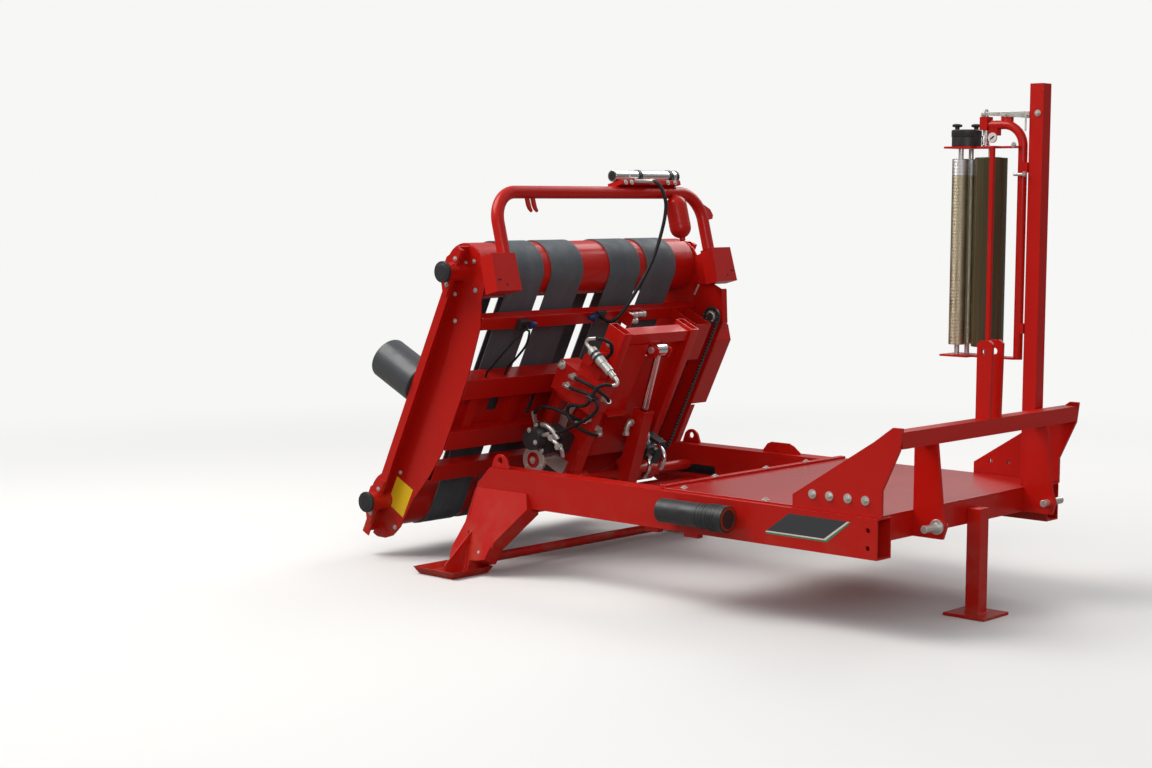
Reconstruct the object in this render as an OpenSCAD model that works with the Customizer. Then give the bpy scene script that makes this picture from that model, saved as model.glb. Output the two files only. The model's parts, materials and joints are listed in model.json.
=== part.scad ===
// Three-point mounted turntable bale wrapper, table tipped to the rear.
// Front of the machine is +X, its left side is +Y, the ground is Z = 0.
// The origin is under the parking leg, on the centreline.

/* [Main frame] */
// Half width over the outer faces of the two side beams
beam_out = 645; // [640:5:665]
// Width of a side beam
beam_w = 90; // [80:2:100]
// Height of a side beam
beam_h = 150; // [130:5:160]
// Height of the top face of the side beams
beam_top = 440; // [430:5:460]
// Wall thickness of the side beams
beam_t = 6; // [4:1:8]
// Rear end of the side beams
beam_rear = -2035; // [-2045:5:-2025]
// Front end of the side beams
beam_front = -20; // [-30:5:0]
// Rear edge of the deck plate
deck_rear = -1030; // [-1060:10:-1000]
// Length of the rear feet
foot_l = 200; // [180:10:240]
// Width of the rear feet
foot_w = 200; // [160:10:220]
// Distance from the centreline to the middle of a rear foot
foot_y = 790; // [780:5:820]
// Position of the middle of the rear feet
foot_x = -2030; // [-2050:5:-2010]

/* [Headstock] */
// Distance from the centreline to the shoulder of a lower link pin
pin_y = 412; // [400:1:425]
// Radius of the lower link pins
pin_r = 14; // [11:0.5:18.5]
// Height of the lower link pins
pin_z = 395; // [380:5:420]
// Radius of the top link pin hole
top_pin_r = 12.75; // [9.5:0.25:16]
// Height of the top link hole above the lower link pins
mast_rise = 610; // [485:5:685]

/* [Tipping] */
// Position of the tipping axis along the machine
pivot_x = -1870; // [-1880:2:-1860]
// Height of the tipping axis
pivot_z = 350; // [345:1:365]
// Angle of the table to the ground
tip = 64.6; // [60:0.2:66]
// Distance from the centreline to the middle of a tipping arm
arm_y = 220; // [215:5:225]
// Length of the tipping arms beyond the tipping axis
arm_l = 720; // [715:5:730]
// Position of the cylinder's lower pin along the machine
cyl_x = -1781; // [-1785:1:-1777]
// Height of the cylinder's lower pin
cyl_z = 265; // [263:1:268]
// Distance of the rod's eye from the tipping axis, along the table
eye_u = 640; // [637:1:643]
// Distance of the rod's eye below the tipping axis, square to the table
eye_n = -15; // [-18:1:-12]

/* [Wrapping table] */
// Distance from the tipping axis to the middle of the table
table_u = 180; // [175:5:190]
// Height of the roller axes above the tipping axis, table lowered
table_n = 565; // [555:5:590]
// Distance from the middle of the table to a roller axis
roller_u = 560; // [550:5:565]
// Radius of the two driven rollers
roller_r = 118; // [105:1:125]
// Distance from the centreline to the outer face of a side channel
web_y = 700; // [695:5:705]
// Length of a side channel above the middle of the table
web_up = 678; // [670:2:686]
// Length of a side channel below the middle of the table
web_down = 742; // [730:2:750]
// Width of one belt
belt_w = 200; // [160:5:205]
// Thickness of a belt
belt_t = 6; // [4:0.5:8]
// Distance from the centreline to the inner edge of the inner belts
belt_in = 90; // [60:5:100]
// Gap between two neighbouring belts
belt_gap = 50; // [30:5:60]
// Radius of the side support rollers
cone_r = 92; // [80:2:95]
// Length of the side support rollers
cone_l = 240; // [200:5:260]

/* [Hoop] */
// Angle of the hoop above the table
hoop_a = 40; // [35:1:45]
// Distance from the middle of a socket to the middle of the hoop's top bar
hoop_l = 345; // [320:5:360]
// Distance from the centreline to the middle of a hoop leg
hoop_y = 670; // [668:1:676]
// Outside radius of the hoop tube
hoop_r = 27; // [22:0.5:29]
// Bend radius of the hoop
hoop_bend = 130; // [100:5:160]

/* [Film dispenser] */
// Distance from the centreline to the middle of the mast
mast_y = 465; // [450:5:480]
// Position of the mast along the machine
mast_x = -45; // [-60:5:-40]
// Width of the square mast tube
mast_w = 60; // [56:2:70]
// Height of the top of the mast
mast_top = 2020; // [1980:10:2060]
// Width of the film roll
film_l = 750; // [500:10:760]
// Outside radius of the film roll
film_r = 64; // [60:2:66]
// Height of the underside of the film roll
film_z = 985; // [960:5:1010]
// Radius of a stretch roller
stretch_r = 34; // [28:1:38]

/* [Hidden] */
$fn = 64;
e = 0.01;
hair = 0.3;
run = 0.05;
beam_mid = beam_out - beam_w / 2;
beam_in = beam_out - beam_w;
beam_low = beam_top - beam_h;
pin_x = 75;
rear_cut = 75;
lift_x = beam_rear + 127;
lift_y = beam_out - 14;
leg_top = 352;
leg_depth = 75;
guard_w = 64;
guard_l = 410;
eye_w = 30;
plate_n = 40;
shelf_u = 340;
tube_l = 325;
tube_x = -975;
flange_z = 13;
web_t = 6;
lip_y = web_y + 60;
arm_w = 50;
arm_h = 100;
arm_n = 47;
shaft_r = 25;
boss_r = 42;
lug_y = 36;
rail_red = [0.70, 0.06, 0.05];
rubber = [0.13, 0.13, 0.14];
steel = [0.72, 0.72, 0.74];
dark = [0.10, 0.10, 0.11];
leg_lean = 22;
cross_x = -1870;
cross_h = 45;
cyl_lean = atan2(eye_at(1) - cyl_z, eye_at(0) - cyl_x);
cyl_len = norm([eye_at(0) - cyl_x, eye_at(1) - cyl_z]);
barrel_l = 400;
barrel_r = 26;
rod_r = 16;
eye_r = 28;
eye_pin_r = 15;
socket_u = 655;
socket_n = -210;
socket_l = 158;
socket_in = hoop_y - 28;
socket_out = socket_in + 145;
front_x = -75.3;
spin_u = table_u;
hub_r = 165;
cone_y = web_y - 15;
head_x = -360;
roll_x = -245;
film_y = mast_y - 20;
neck_x = -105;
neck_r = 18;
neck_bend = 85;
neck_top = 1863;
neck_end = -255;
// Cross members of the table: place along it, height, width and depth.
rails = [[405, -162, 56, 50], [108, -177.5, 95, 85], [-141, -190, 90, 60], [-310, -180, 79, 50]];
// Sprockets of the chain drive: place along the table, height and radius.
sprockets = [[450, -316, 37], [-250, -316, 37]];
sprocket_y = web_y - 35;
tooth_n = 14;
case_low = -362;
hose_r = 6.5;
// Routes of the hoses that run from housing to housing on the tilting frame.
tilt_routes = [
    [[430, -355.6, 103], [430, -385, 103], [450, -400, 30], [472, -400, -60], [450, -400, -115],
     [395, -400, -100], [324, -400, -45], [250, -400, 20], [190, -410, 95], [190, -380.3, 95]],
    [[480, -355.6, 90], [480, -385, 90], [496, -395, 30], [505, -390, -50], [480, -345, -105],
     [440, -300, -80], [440, -300, -45.3]],
    [[185, -350, 185.3], [185, -350, 205], [225, -370, 212], [285, -390, 170], [322, -395, 80],
     [330, -385, 0], [318, -330, -20], [300, -275, 15], [300, -245.3, 15]]
];
// Routes of the free hose and the two cables on the table.
cutter_route = [[974, 300, 5], [987, 300, -10], [986, 302, -42], [955, 309, -82], [905, 314, -114],
                [817, 290, -155], [690, 235, -205], [564, 150, -244], [470, 72, -270], [428, 38, -262],
                [416, 30, -236], [416, 30, -202.6]];
cable_route_1 = [[405, -462, -212.6], [405, -462, -232], [370, -520, -248], [300, -560, -240],
                 [215, -575, -215], [180, -575, -200], [155.8, -575, -200]];
cable_route_2 = [[386, -440, -212.6], [386, -440, -232], [330, -445, -245], [260, -450, -225],
                 [190, -452, -195], [155.8, -452, -195]];
// The outline of a side channel's web: place along the table and height.
web_line = [[-web_down, flange_z], [-web_down, -18], [-720, -66], [-685, -103], [-626, -128], [-475, -146],
            [-328, -191], [-200, -216], [162, -216], [398, -190], [496, -147], [575, -138], [612, -124],
            [648, -95], [670, -60], [web_up, -20], [web_up, flange_z]];
// The outline of a leg's outer plate, and of the space inside the leg: place and height on its slope.
leg_plate = [[-2027, 0], [-1739, 0], [-1710, -64], [-1853, -234], [-1872, -300], [-1917, -309],
             [-1950, -311], [-1950, -400], [-2055, -400], [-2077, -275], [-2033, -140]];
leg_space = [[-2019, -8], [-1744, -8], [-1719, -62], [-1861, -232], [-1878, -293], [-1919, -301],
             [-1958, -303], [-1958, -410], [-2047, -410], [-2069, -276], [-2025, -140]];

// Points on a smooth line through a route, whose first and last stretches stay straight.
function bent(p, i, t) = 0.5 * (2 * p[i] + (p[i + 1] - p[i - 1]) * t
    + (2 * p[i - 1] - 5 * p[i] + 4 * p[i + 1] - p[i + 2]) * t * t
    + (3 * p[i] - p[i - 1] - 3 * p[i + 1] + p[i + 2]) * t * t * t);
function smooth(p, k) = concat([p[0]], [for (i = [1:len(p) - 3], j = [0:k - 1]) bent(p, i, j / k)],
    [p[len(p) - 2], p[len(p) - 1]]);
function unit(v) = v / norm(v);
function way(p, i) = unit(p[min(i + 1, len(p) - 1)] - p[max(i - 1, 0)]);
function ring_at(p, i, r, n, up) = let (t = way(p, i), a = unit(cross(up, t)), b = cross(t, a))
    [for (k = [0:n - 1]) p[i] + r * (cos(360 * k / n) * a + sin(360 * k / n) * b)];

function eye_at(i) = i == 0
    ? pivot_x + eye_u * cos(tip) - eye_n * sin(tip)
    : pivot_z + eye_u * sin(tip) + eye_n * cos(tip);

// A solid bar along X.
module bar_x(x0, x1, y, z, w, h) {
    translate([x0, y - w / 2, z - h / 2]) cube([x1 - x0, w, h]);
}

// A square-cornered tube along X.
module tube_x(x0, x1, y, z, w, h, t) {
    difference() {
        bar_x(x0, x1, y, z, w, h);
        bar_x(x0 - 1, x1 + 1, y, z, w - 2 * t, h - 2 * t);
    }
}

// A solid bar along Y.
module bar_y(x, y0, y1, z, w, h) {
    translate([x - w / 2, y0, z - h / 2]) cube([w, y1 - y0, h]);
}

// A square-cornered tube along Y.
module tube_y(x, y0, y1, z, w, h, t) {
    difference() {
        bar_y(x, y0, y1, z, w, h);
        bar_y(x, y0 - 1, y1 + 1, z, w - 2 * t, h - 2 * t);
    }
}

// A round bar along Y.
module rod_y(x, y0, y1, z, r) {
    translate([x, y0, z]) rotate([-90, 0, 0]) cylinder(r = r, h = y1 - y0);
}

// A round tube along Y.
module pipe_y(x, y0, y1, z, r, ri) {
    difference() {
        rod_y(x, y0, y1, z, r);
        rod_y(x, y0 - 1, y1 + 1, z, ri);
    }
}

// A plate in the XZ plane, cut to a list of points, from y0 to y1.
module plate_y(points, y0, y1) {
    translate([0, y1, 0]) rotate([90, 0, 0]) linear_extrude(y1 - y0) polygon(points);
}

// The same thing on both sides of the machine.
module both() {
    children();
    mirror([0, 1, 0]) children();
}

// Places things measured from the tipping axis, drawn with the table lowered.
module on_tilt() {
    translate([pivot_x, 0, pivot_z]) rotate([0, -tip, 0]) children();
}

// Places things measured from the middle of the table on the roller axis plane.
module on_table() {
    on_tilt() translate([table_u, 0, table_n]) children();
}

// One side beam, open at its front end, its rear end cut off at a slant.
module side_beam() {
    difference() {
        bar_x(beam_rear, beam_front, beam_mid, beam_top - beam_h / 2, beam_w, beam_h);
        bar_x(beam_rear + rear_cut + 10, beam_front + 1, beam_mid, beam_top - beam_h / 2,
              beam_w - 2 * beam_t, beam_h - 2 * beam_t);
        plate_y([[beam_rear - 1, beam_top - rear_cut - 1], [beam_rear + rear_cut + 1, beam_top + 1],
                 [beam_rear - 1, beam_top + 1]], beam_in - 1, beam_out + 1);
        for (z = [beam_low + 40, beam_top - 45])
            translate([beam_front - 40, beam_out + 1, z]) rotate([90, 0, 0])
                cylinder(r = 9, h = beam_t + 2, $fn = 32);
    }
    for (x = [-1130, -930])
        bar_x(x, x + 70, beam_mid, beam_low - 12, 30, 24 + 2 * e);
}

module side_beams() {
    color(rail_red) both() side_beam();
}

// Places things on the slope of a rear leg, measured from the outer top edge of its plate.
module on_leg() {
    translate([0, beam_out + 10 + hair, leg_top]) rotate([leg_lean, 0, 0]) children();
}

// The space that a leg takes, from its inner side outwards.
module leg_side() {
    on_leg() translate([-2500, -leg_depth - hair, -500]) cube([1000, 300, 600]);
}

// One rear leg: a slanting box with a folded rear edge and a doubling plate over the foot.
module rear_leg() {
    difference() {
        on_leg() {
            difference() {
                plate_y(leg_plate, -leg_depth, 0);
                plate_y(leg_space, 8 - leg_depth, -8);
            }
            translate([-2027, -1, 0]) rotate([0, 0, 40])
                plate_y([[6, -3], [-75, -3], [-90, -56], [-95, -147], [-52, -300], [6, -130]], -8, 0);
            plate_y([[-2000, -190], [-1958, -330], [-1958, -400], [-2046, -400], [-2056, -340]], -2, 8);
        }
        translate([-2300, 0, -200]) cube([800, 1200, 208 + hair]);
        translate([beam_rear - hair, 0, beam_low - hair]) cube([600, beam_out + hair, 200]);
    }
}

module rear_legs() {
    color(rail_red) both() rear_leg();
}

// The rear feet: flat trays with flared edges.
module rear_feet() {
    color(rail_red) both() translate([foot_x, foot_y, 0]) difference() {
        linear_extrude(32, scale = 1.2) square([foot_l, foot_w], center = true);
        translate([0, 0, 8]) linear_extrude(32, scale = 1.2) square([foot_l + 2, foot_w + 2], center = true);
    }
}

module foot_brace() {
    color(rail_red) difference() {
        pipe_y(foot_x + 60, -750, 750, 54, 20, 16);
        both() leg_side();
    }
}

// The rear tube lies under the beams and carries the cylinder's lower lugs.
module cross_members() {
    color(rail_red) {
        difference() {
            tube_y(cross_x, -beam_out + 10, beam_out - 10, beam_low - hair - cross_h / 2, 70, cross_h, 5);
            both() leg_side();
        }
        both() difference() {
            plate_y([[cross_x + 35 - e, cyl_z - 20], [cyl_x, cyl_z - 32], [cyl_x + 26, cyl_z - 18],
                     [cyl_x + 26, cyl_z + 18], [cyl_x, cyl_z + 30], [cross_x + 35 - e, cyl_z + 24]],
                    lug_y, lug_y + 10);
            rod_y(cyl_x, lug_y - 1, lug_y + 11, cyl_z, eye_pin_r + run);
        }
        tube_y(front_x, -beam_in + hair, beam_in - hair, beam_top - 45, 90, 90, 6);
    }
}

module lifting_eyes() {
    color(rail_red) both() translate([lift_x, 0, beam_top]) difference() {
        intersection() {
            union() {
                plate_y([[-52, 0], [52, 0], [42, 26], [-42, 26]], lift_y - 6, lift_y + 6);
                rod_y(0, lift_y - 6, lift_y + 6, 17, 43);
            }
            translate([-60, 0, hair]) cube([120, 1000, 100]);
        }
        rod_y(0, lift_y - 7, lift_y + 7, 32, 13);
    }
}

module deck_plate() {
    color(rail_red) {
        translate([deck_rear, -beam_out + 30, beam_top + hair])
            cube([front_x + 45 - deck_rear, 2 * beam_out - 60, 6]);
        translate([deck_rear - 30, -beam_in + 5, beam_top - 24]) cube([30, 2 * beam_in - 10, 30 + hair]);
    }
}

// Side plates with four bolt holes each.
module head_plates() {
    color(rail_red) both() difference() {
        plate_y([[-400, beam_top + hair], [-10, beam_top + hair], [-10, 540], [60, 690], [70, 770],
                 [30, 770], [-45, 715], [-400, beam_top + 50]],
                beam_out - 22, beam_out - 10);
        for (x = [-320, -240, -160, -80])
            rod_y(x, beam_out - 23, beam_out - 9, beam_top + 60, 9);
    }
}

// The upper cross tube with the plates that carry the link pins.
module head_frame() {
    color(rail_red) difference() {
        union() {
            tube_y(35, -beam_out + 22 + hair, beam_out - 22 - hair, 725, 60, 60, 5);
            both() plate_y([[-30, 350], [95, 350], [110, 395], [95, 440], [65, 700], [-30, 700]],
                           pin_y - 26, pin_y - 12);
            both() plate_y([[5, 755 - e], [65, 755 - e], [70, 1035], [55, 1048], [20, 1048], [5, 1035]],
                           30, 44);
        }
        both() rod_y(35, 29, 45, pin_z + mast_rise, top_pin_r);
        both() rod_y(pin_x, pin_y - 27, pin_y - 11, pin_z, pin_r + run);
    }
}

module link_pins() {
    color(steel) both() {
        rod_y(pin_x, pin_y - 60, pin_y + 80, pin_z, pin_r);
        rod_y(pin_x, pin_y - 12 + hair, pin_y, pin_z, 28);
    }
}

module parking_leg() {
    color(rail_red) {
        translate([-30, -30, 12 - e]) cube([60, 60, 400]);
        translate([-90, -90, 0]) cube([180, 180, 12]);
    }
}

module tip_shaft() {
    color(steel) rod_y(pivot_x, -beam_in + hair, beam_in - hair, pivot_z, shaft_r);
}

// A lidded canister on the outside of the right beam.
module document_tube() {
    color(dark) translate([tube_x, -beam_out - 51 - hair, 374]) rotate([0, 90, 0]) {
        cylinder(r = 47, h = tube_l - 84);
        translate([0, 0, tube_l - 85]) cylinder(r = 51, h = 85);
    }
}

module tilt_arms() {
    color(rail_red) on_tilt() both() {
        difference() {
            tube_x(-45, arm_l, arm_y, arm_n, arm_w, arm_h, 5);
            rod_y(0, arm_y - arm_w, arm_y + arm_w, 0, boss_r - e);
        }
        pipe_y(0, arm_y - 60, arm_y + 60, 0, boss_r, shaft_r + run);
    }
}

// The cross tube at the arms' tops, with the two ears for the rod's eye.
module tilt_head() {
    half = arm_y - arm_w / 2 - hair;
    color(rail_red) on_tilt() difference() {
        union() {
            tube_y(arm_l - 35, -half, half, arm_n - 10, 50, 60, 5);
            both() plate_y([[arm_l - 58, arm_n + 10], [arm_l - 58, eye_n - 28], [eye_u + 8, eye_n - 36],
                            [eye_u - 24, eye_n - 30], [eye_u - 38, eye_n], [eye_u - 32, eye_n + 26],
                            [eye_u - 6, eye_n + 52]], lug_y, lug_y + 10);
        }
        both() rod_y(eye_u, lug_y - 1, lug_y + 11, eye_n, eye_pin_r + run);
    }
}

// The plates between the arms; one is folded out to a shelf halfway.
module tilt_plates() {
    half = arm_y - arm_w / 2 - hair;
    top = arm_l - 60 - hair;
    edge = lug_y + 10 + hair;
    color(rail_red) on_tilt() {
        difference() {
            translate([90, -half, plate_n]) cube([top - 90, 2 * half, 8]);
            translate([eye_u - 60, -edge, plate_n - 1]) cube([200, 2 * edge, 10]);
            for (u = [180, 250], y = [-150, -110, 110, 150])
                translate([u, y, plate_n - 1]) cylinder(r = 7, h = 10, $fn = 24);
        }
        translate([shelf_u, -half, -2]) cube([top - shelf_u, half - edge - 14, 8]);
        translate([shelf_u - 8, -half, -32]) cube([8 + e, half - edge - 14, plate_n + 32 + e]);
    }
}

module slew_base() {
    color(rail_red) on_tilt() translate([spin_u, 0, arm_n + arm_h / 2]) {
        translate([0, 0, hair]) cylinder(r = 240, h = 12);
        translate([0, 0, 12]) cylinder(r = hub_r, h = 66);
    }
}

// The gear housing beside the right arm, with an oil filter on its back.
module gear_box() {
    side = arm_y + arm_w / 2 + hair;
    color(rail_red) on_tilt() {
        translate([370, -side - 110, -45]) cube([135, 110, 235]);
        translate([350, -side - 95, 60]) cube([21, 80, 100]);
        translate([505 - e, -side - 60, 0]) cube([40, 50, 120]);
        rod_y(575, -side - 100, -side, 60, 26);
        bar_x(540, 560, -side - 30, 60, 60, 40);
    }
}

// The two oil motors with their flanges.
module oil_motors() {
    side = arm_y + arm_w / 2 + hair;
    color(dark) on_tilt() {
        rod_y(150, -430, -320, 135, 48);
        translate([98, -380, 85]) cube([104, 60, 100]);
        translate([108, -321, 60]) cube([84, 321 - side, 110]);
        rod_y(165, 70, arm_y - arm_w / 2 - hair, -60, 45);
        translate([110, 120, -110]) cube([110, 50, 110 + plate_n - hair]);
    }
}

// A steel disc on its own bearing plate.
module motor_disc() {
    side = arm_y + arm_w / 2 + hair;
    color(steel) on_tilt() {
        translate([0, -side - 10, 44]) cube([70, 10, 121]);
        rod_y(35, -345, -side - 10 + e, 140, 12);
        rod_y(35, -358, -344, 140, 62);
    }
}

// The two ends of the pin in the ears, on either side of the rod's eye.
module rod_pin() {
    color(steel) on_tilt() both() rod_y(eye_u, eye_w + 3, lug_y + 20, eye_n, eye_pin_r);
}

module cylinder_pins() {
    color(steel) rod_y(cyl_x, -lug_y - 18, lug_y + 18, cyl_z, eye_pin_r);
}

// The tipping cylinder lies along its own X axis.
module on_cylinder() {
    translate([cyl_x, 0, cyl_z]) rotate([0, -cyl_lean, 0]) children();
}

module tip_cylinder() {
    color(rail_red) on_cylinder() {
        difference() {
            rod_y(0, -eye_w, eye_w, 0, eye_r);
            rod_y(0, -eye_w - 1, eye_w + 1, 0, eye_pin_r + run);
        }
        translate([eye_r - 3, 0, 0]) rotate([0, 90, 0]) difference() {
            cylinder(r = barrel_r, h = barrel_l - eye_r + 3);
            translate([0, 0, 15]) cylinder(r = rod_r + run, h = barrel_l);
        }
        for (x = [60, barrel_l - 40]) difference() {
            bar_x(x, x + 25, 0, 0, guard_w - 8, guard_w - 8);
            translate([x - 1, 0, 0]) rotate([0, 90, 0]) cylinder(r = barrel_r - e, h = 27);
        }
    }
}

// A square cover around the cylinder.
module cylinder_guard() {
    color(rail_red) on_cylinder() tube_x(45, guard_l, 0, 0, guard_w, guard_w, 4 - hair);
}

module tip_rod() {
    color(steel) on_cylinder() {
        difference() {
            rod_y(cyl_len, -eye_w, eye_w, 0, eye_r);
            rod_y(cyl_len, -eye_w - 1, eye_w + 1, 0, eye_pin_r + run);
        }
        translate([190, 0, 0]) rotate([0, 90, 0]) cylinder(r = rod_r, h = cyl_len - 190 - eye_r + 3);
    }
}

module slew_ring() {
    color(steel) on_tilt() translate([spin_u, 0, 175 + hair])
        cylinder(r = hub_r + 15, h = 47);
}

// The channels' edges are folded outwards and bear the rollers' housings.
module side_channels() {
    color(rail_red) on_table() both() difference() {
        union() {
            plate_y(web_line, web_y - web_t, web_y);
            translate([-web_down + 14, 0, 0]) rotate([90, 0, 90]) linear_extrude(web_down + web_up - 24)
                polygon([[web_y - web_t, flange_z - e], [web_y - web_t, flange_z + 8], [lip_y, flange_z + 8],
                         [lip_y, -20], [lip_y - 6, -20], [lip_y - 6, flange_z - e]]);
            for (u = [-roller_u, roller_u]) {
                rod_y(u, web_y - e, lip_y + 48, 0, 40);
                plate_y([[u - 108, -18], [u + 108, -18], [u + 108, 4], [u + 44, 50], [u - 44, 50], [u - 108, 4]],
                        lip_y - e, lip_y + 10);
            }
        }
        for (u = [-roller_u, roller_u])
            rod_y(u, web_y - web_t - 1, web_y + 40, 0, 22);
    }
}

module table_rails() {
    color(rail_red) on_table() {
        for (r = rails)
            tube_y(r[0], -web_y + web_t + hair, web_y - web_t - hair, r[1], r[2], r[3], 5);
    }
}

// The panel behind the belts' lower run, between the two middle cross members.
module centre_panel() {
    low = rails[2][0] + rails[2][2] / 2 + hair;
    high = rails[1][0] - rails[1][2] / 2 - hair;
    color(rail_red) on_table() difference() {
        union() {
            translate([low, -web_y + web_t + hair, -166])
                cube([high - low, 2 * (web_y - web_t - hair), 5]);
            both() for (y = [300, 560])
                translate([low, y, -196]) cube([high - low, 50, 30 + e]);
        }
        both() {
            translate([low + 60, 400, -170]) cube([high - low - 75, 60, 20]);
            translate([low + 15, 170, -170]) cube([high - low - 30, 28, 20]);
        }
    }
}

// Two beams that join the cross members to the slew ring.
module hub_beams() {
    color(rail_red) on_table() both()
        bar_x(-186, 155, 110, -265 - hair, 60, 90);
}

module hub_plate() {
    color(rail_red) on_tilt() translate([spin_u, 0, 222 + 2 * hair]) cylinder(r = 230, h = 32);
}

module table_rollers() {
    color(rail_red) on_table() for (u = [-roller_u, roller_u]) {
        rod_y(u, -web_y + web_t + 8, web_y - web_t - 8, 0, roller_r);
        both() rod_y(u, web_y - web_t - 8 - e, web_y + 30, 0, 22 - run);
    }
}

module belts() {
    color(rubber) on_table() both()
        for (y0 = [belt_in, belt_in + belt_w + belt_gap])
            translate([0, y0 + belt_w, 0]) rotate([90, 0, 0]) linear_extrude(belt_w)
                difference() {
                    belt_loop(roller_r + hair + belt_t);
                    belt_loop(roller_r + hair);
                }
}

// The outline of a belt run round both rollers.
module belt_loop(r) {
    for (u = [-roller_u, roller_u]) translate([u, 0]) circle(r = r);
    translate([-roller_u, -r]) square([2 * roller_u, 2 * r]);
}

// The chain's case: a plate lapped on the left channel, with its edge folded out, and a bracket.
module chain_case() {
    side = web_y + hair;
    color(rail_red) on_table() {
        plate_y([[-420, case_low], [440, case_low], [575, -290], [575, -100], [-420, -100]], side, side + 6);
        plate_y([[-420, case_low], [0, case_low], [0, case_low + 6], [-420, case_low + 6]],
                side + 6 - e, side + 36);
        plate_y([[410, case_low], [440, case_low], [575, -290], [575, -283], [438, case_low + 6.5],
                 [410, case_low + 6]], side + 6 - e, side + 36);
        for (y = [530, 632])
            plate_y([[245, -350], [430, -350], [430, -187 - hair], [385, -187 - hair], [385, -290],
                     [245, -325]], y, y + 6);
        translate([245, 530, -350]) cube([185, 108, 6]);
    }
}

// The closed cover on the outside of the chain's case.
module chain_cover() {
    near = web_y + 6 + 2 * hair;
    color(rail_red) on_table() difference() {
        plate_y([[8, case_low], [345, case_low], [402, -316], [402, -120], [-10, -120]], near, near + 108);
        plate_y([[14, case_low + 6], [342, case_low + 6], [396, -313], [396, -126], [-4, -126]],
                near - 1, near + 102);
    }
}

// The sprockets and the chain run round them.
module chain_drive() {
    color(dark) on_table() {
        for (q = sprockets) {
            rod_y(q[0], sprocket_y - 18, web_y, q[1], 17);
            translate([q[0], sprocket_y + 6, q[1]]) rotate([90, 0, 0]) linear_extrude(12)
                polygon([for (i = [0:tooth_n * 4 - 1])
                    (q[2] - (i % 4 < 2 ? 1 : 7)) * [cos(i * 90 / tooth_n), sin(i * 90 / tooth_n)]]);
        }
        translate([0, sprocket_y + 6, 0]) rotate([90, 0, 0]) linear_extrude(12) difference() {
            polygon(chain_line(8));
            polygon(chain_line(0));
        }
    }
}

// The outline of the chain: straight runs along the tangents of the two sprockets, s outside them.
function chain_line(s) = let (
        a = sprockets[1],
        b = sprockets[0],
        turn = atan2(b[1] - a[1], b[0] - a[0]),
        slant = asin((a[2] - b[2]) / norm([b[0] - a[0], b[1] - a[1]]))
    ) concat(
        [for (i = [0:18]) [a[0], a[1]] + (a[2] + s) * arc_at(turn + 90 - slant + i * (180 + 2 * slant) / 18)],
        [for (i = [0:18]) [b[0], b[1]] + (b[2] + s) * arc_at(turn - 90 + slant + i * (180 - 2 * slant) / 18)]
    );

function arc_at(a) = [cos(a), sin(a)];

module shaft_caps() {
    color(rubber) on_table() both() for (u = [-roller_u, roller_u])
        rod_y(u, lip_y + 48 + hair, lip_y + 65, 0, 45);
}

module support_roller(s) {
    color(dark) on_table() translate([0, s * cone_y, flange_z + 8 + 6]) difference() {
        cylinder(r = cone_r, h = cone_l);
        translate([0, 0, -1]) cylinder(r = 20 + run, h = cone_l - 20);
    }
}

module support_roller_right() {
    support_roller(-1);
}

module support_roller_left() {
    support_roller(1);
}

module support_stubs() {
    color(steel) on_table() both()
        translate([0, cone_y, flange_z + 8 + hair]) cylinder(r = 20, h = cone_l - 30);
}

// Places things measured from the middle of a hoop socket along the hoop.
module on_hoop() {
    on_table() translate([socket_u, 0, socket_n]) rotate([0, -hoop_a, 0]) children();
}

module hoop_sockets() {
    half = socket_l / 2;
    color(rail_red) on_hoop() both() difference() {
        translate([0, 0, -40]) linear_extrude(70)
            polygon([[-half, socket_in], [half, socket_in + 4], [half, socket_out - 6], [-half, socket_out]]);
        translate([-half + 6, socket_in + 10, -34])
            cube([socket_l - 12, socket_out - socket_in - 22, 70]);
    }
    color(rail_red) on_table() both()
        plate_y([[500, -50], [600, -50], [690, -130], [709, -212], [621, -287], [581, -240], [545, -180]],
                web_y - web_t - 7 - hair, web_y - web_t - hair);
}

// A quarter bend of a round tube.
module bend(r, bend_r) {
    rotate_extrude(angle = 90) translate([bend_r, 0]) difference() {
        circle(r = r);
        circle(r = r - 3);
    }
}

module hoop() {
    color(rail_red) on_hoop() {
        both() {
            translate([hoop_l - hoop_bend, hoop_y - hoop_bend, 0]) bend(hoop_r, hoop_bend);
            translate([socket_l / 2 + hair, hoop_y, 0]) rotate([0, 90, 0]) difference() {
                cylinder(r = hoop_r, h = hoop_l - hoop_bend - socket_l / 2 - hair);
                translate([0, 0, -1]) cylinder(r = hoop_r - 3, h = 500);
            }
        }
        pipe_y(hoop_l, -hoop_y + hoop_bend, hoop_y - hoop_bend, 0, hoop_r, hoop_r - 3);
    }
}

module cutter_bracket() {
    color(rail_red) on_hoop() translate([hoop_l + hoop_r + hair, 100, -40])
        cube([22, 410, 80]);
}

module cutter_cylinder() {
    color(steel) on_hoop() rod_y(hoop_l + hoop_r + 48 + 2 * hair, 95, 530, 0, 26);
}

// A pressure bottle that hangs below the hoop's top bar.
module accumulator() {
    color(rail_red) on_hoop() translate([hoop_l - 69.1, 460, -30]) rotate([0, -90, 0]) {
        cylinder(r = 48, h = 100);
        sphere(r = 48);
        translate([0, 0, 100]) sphere(r = 48);
    }
}

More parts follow.
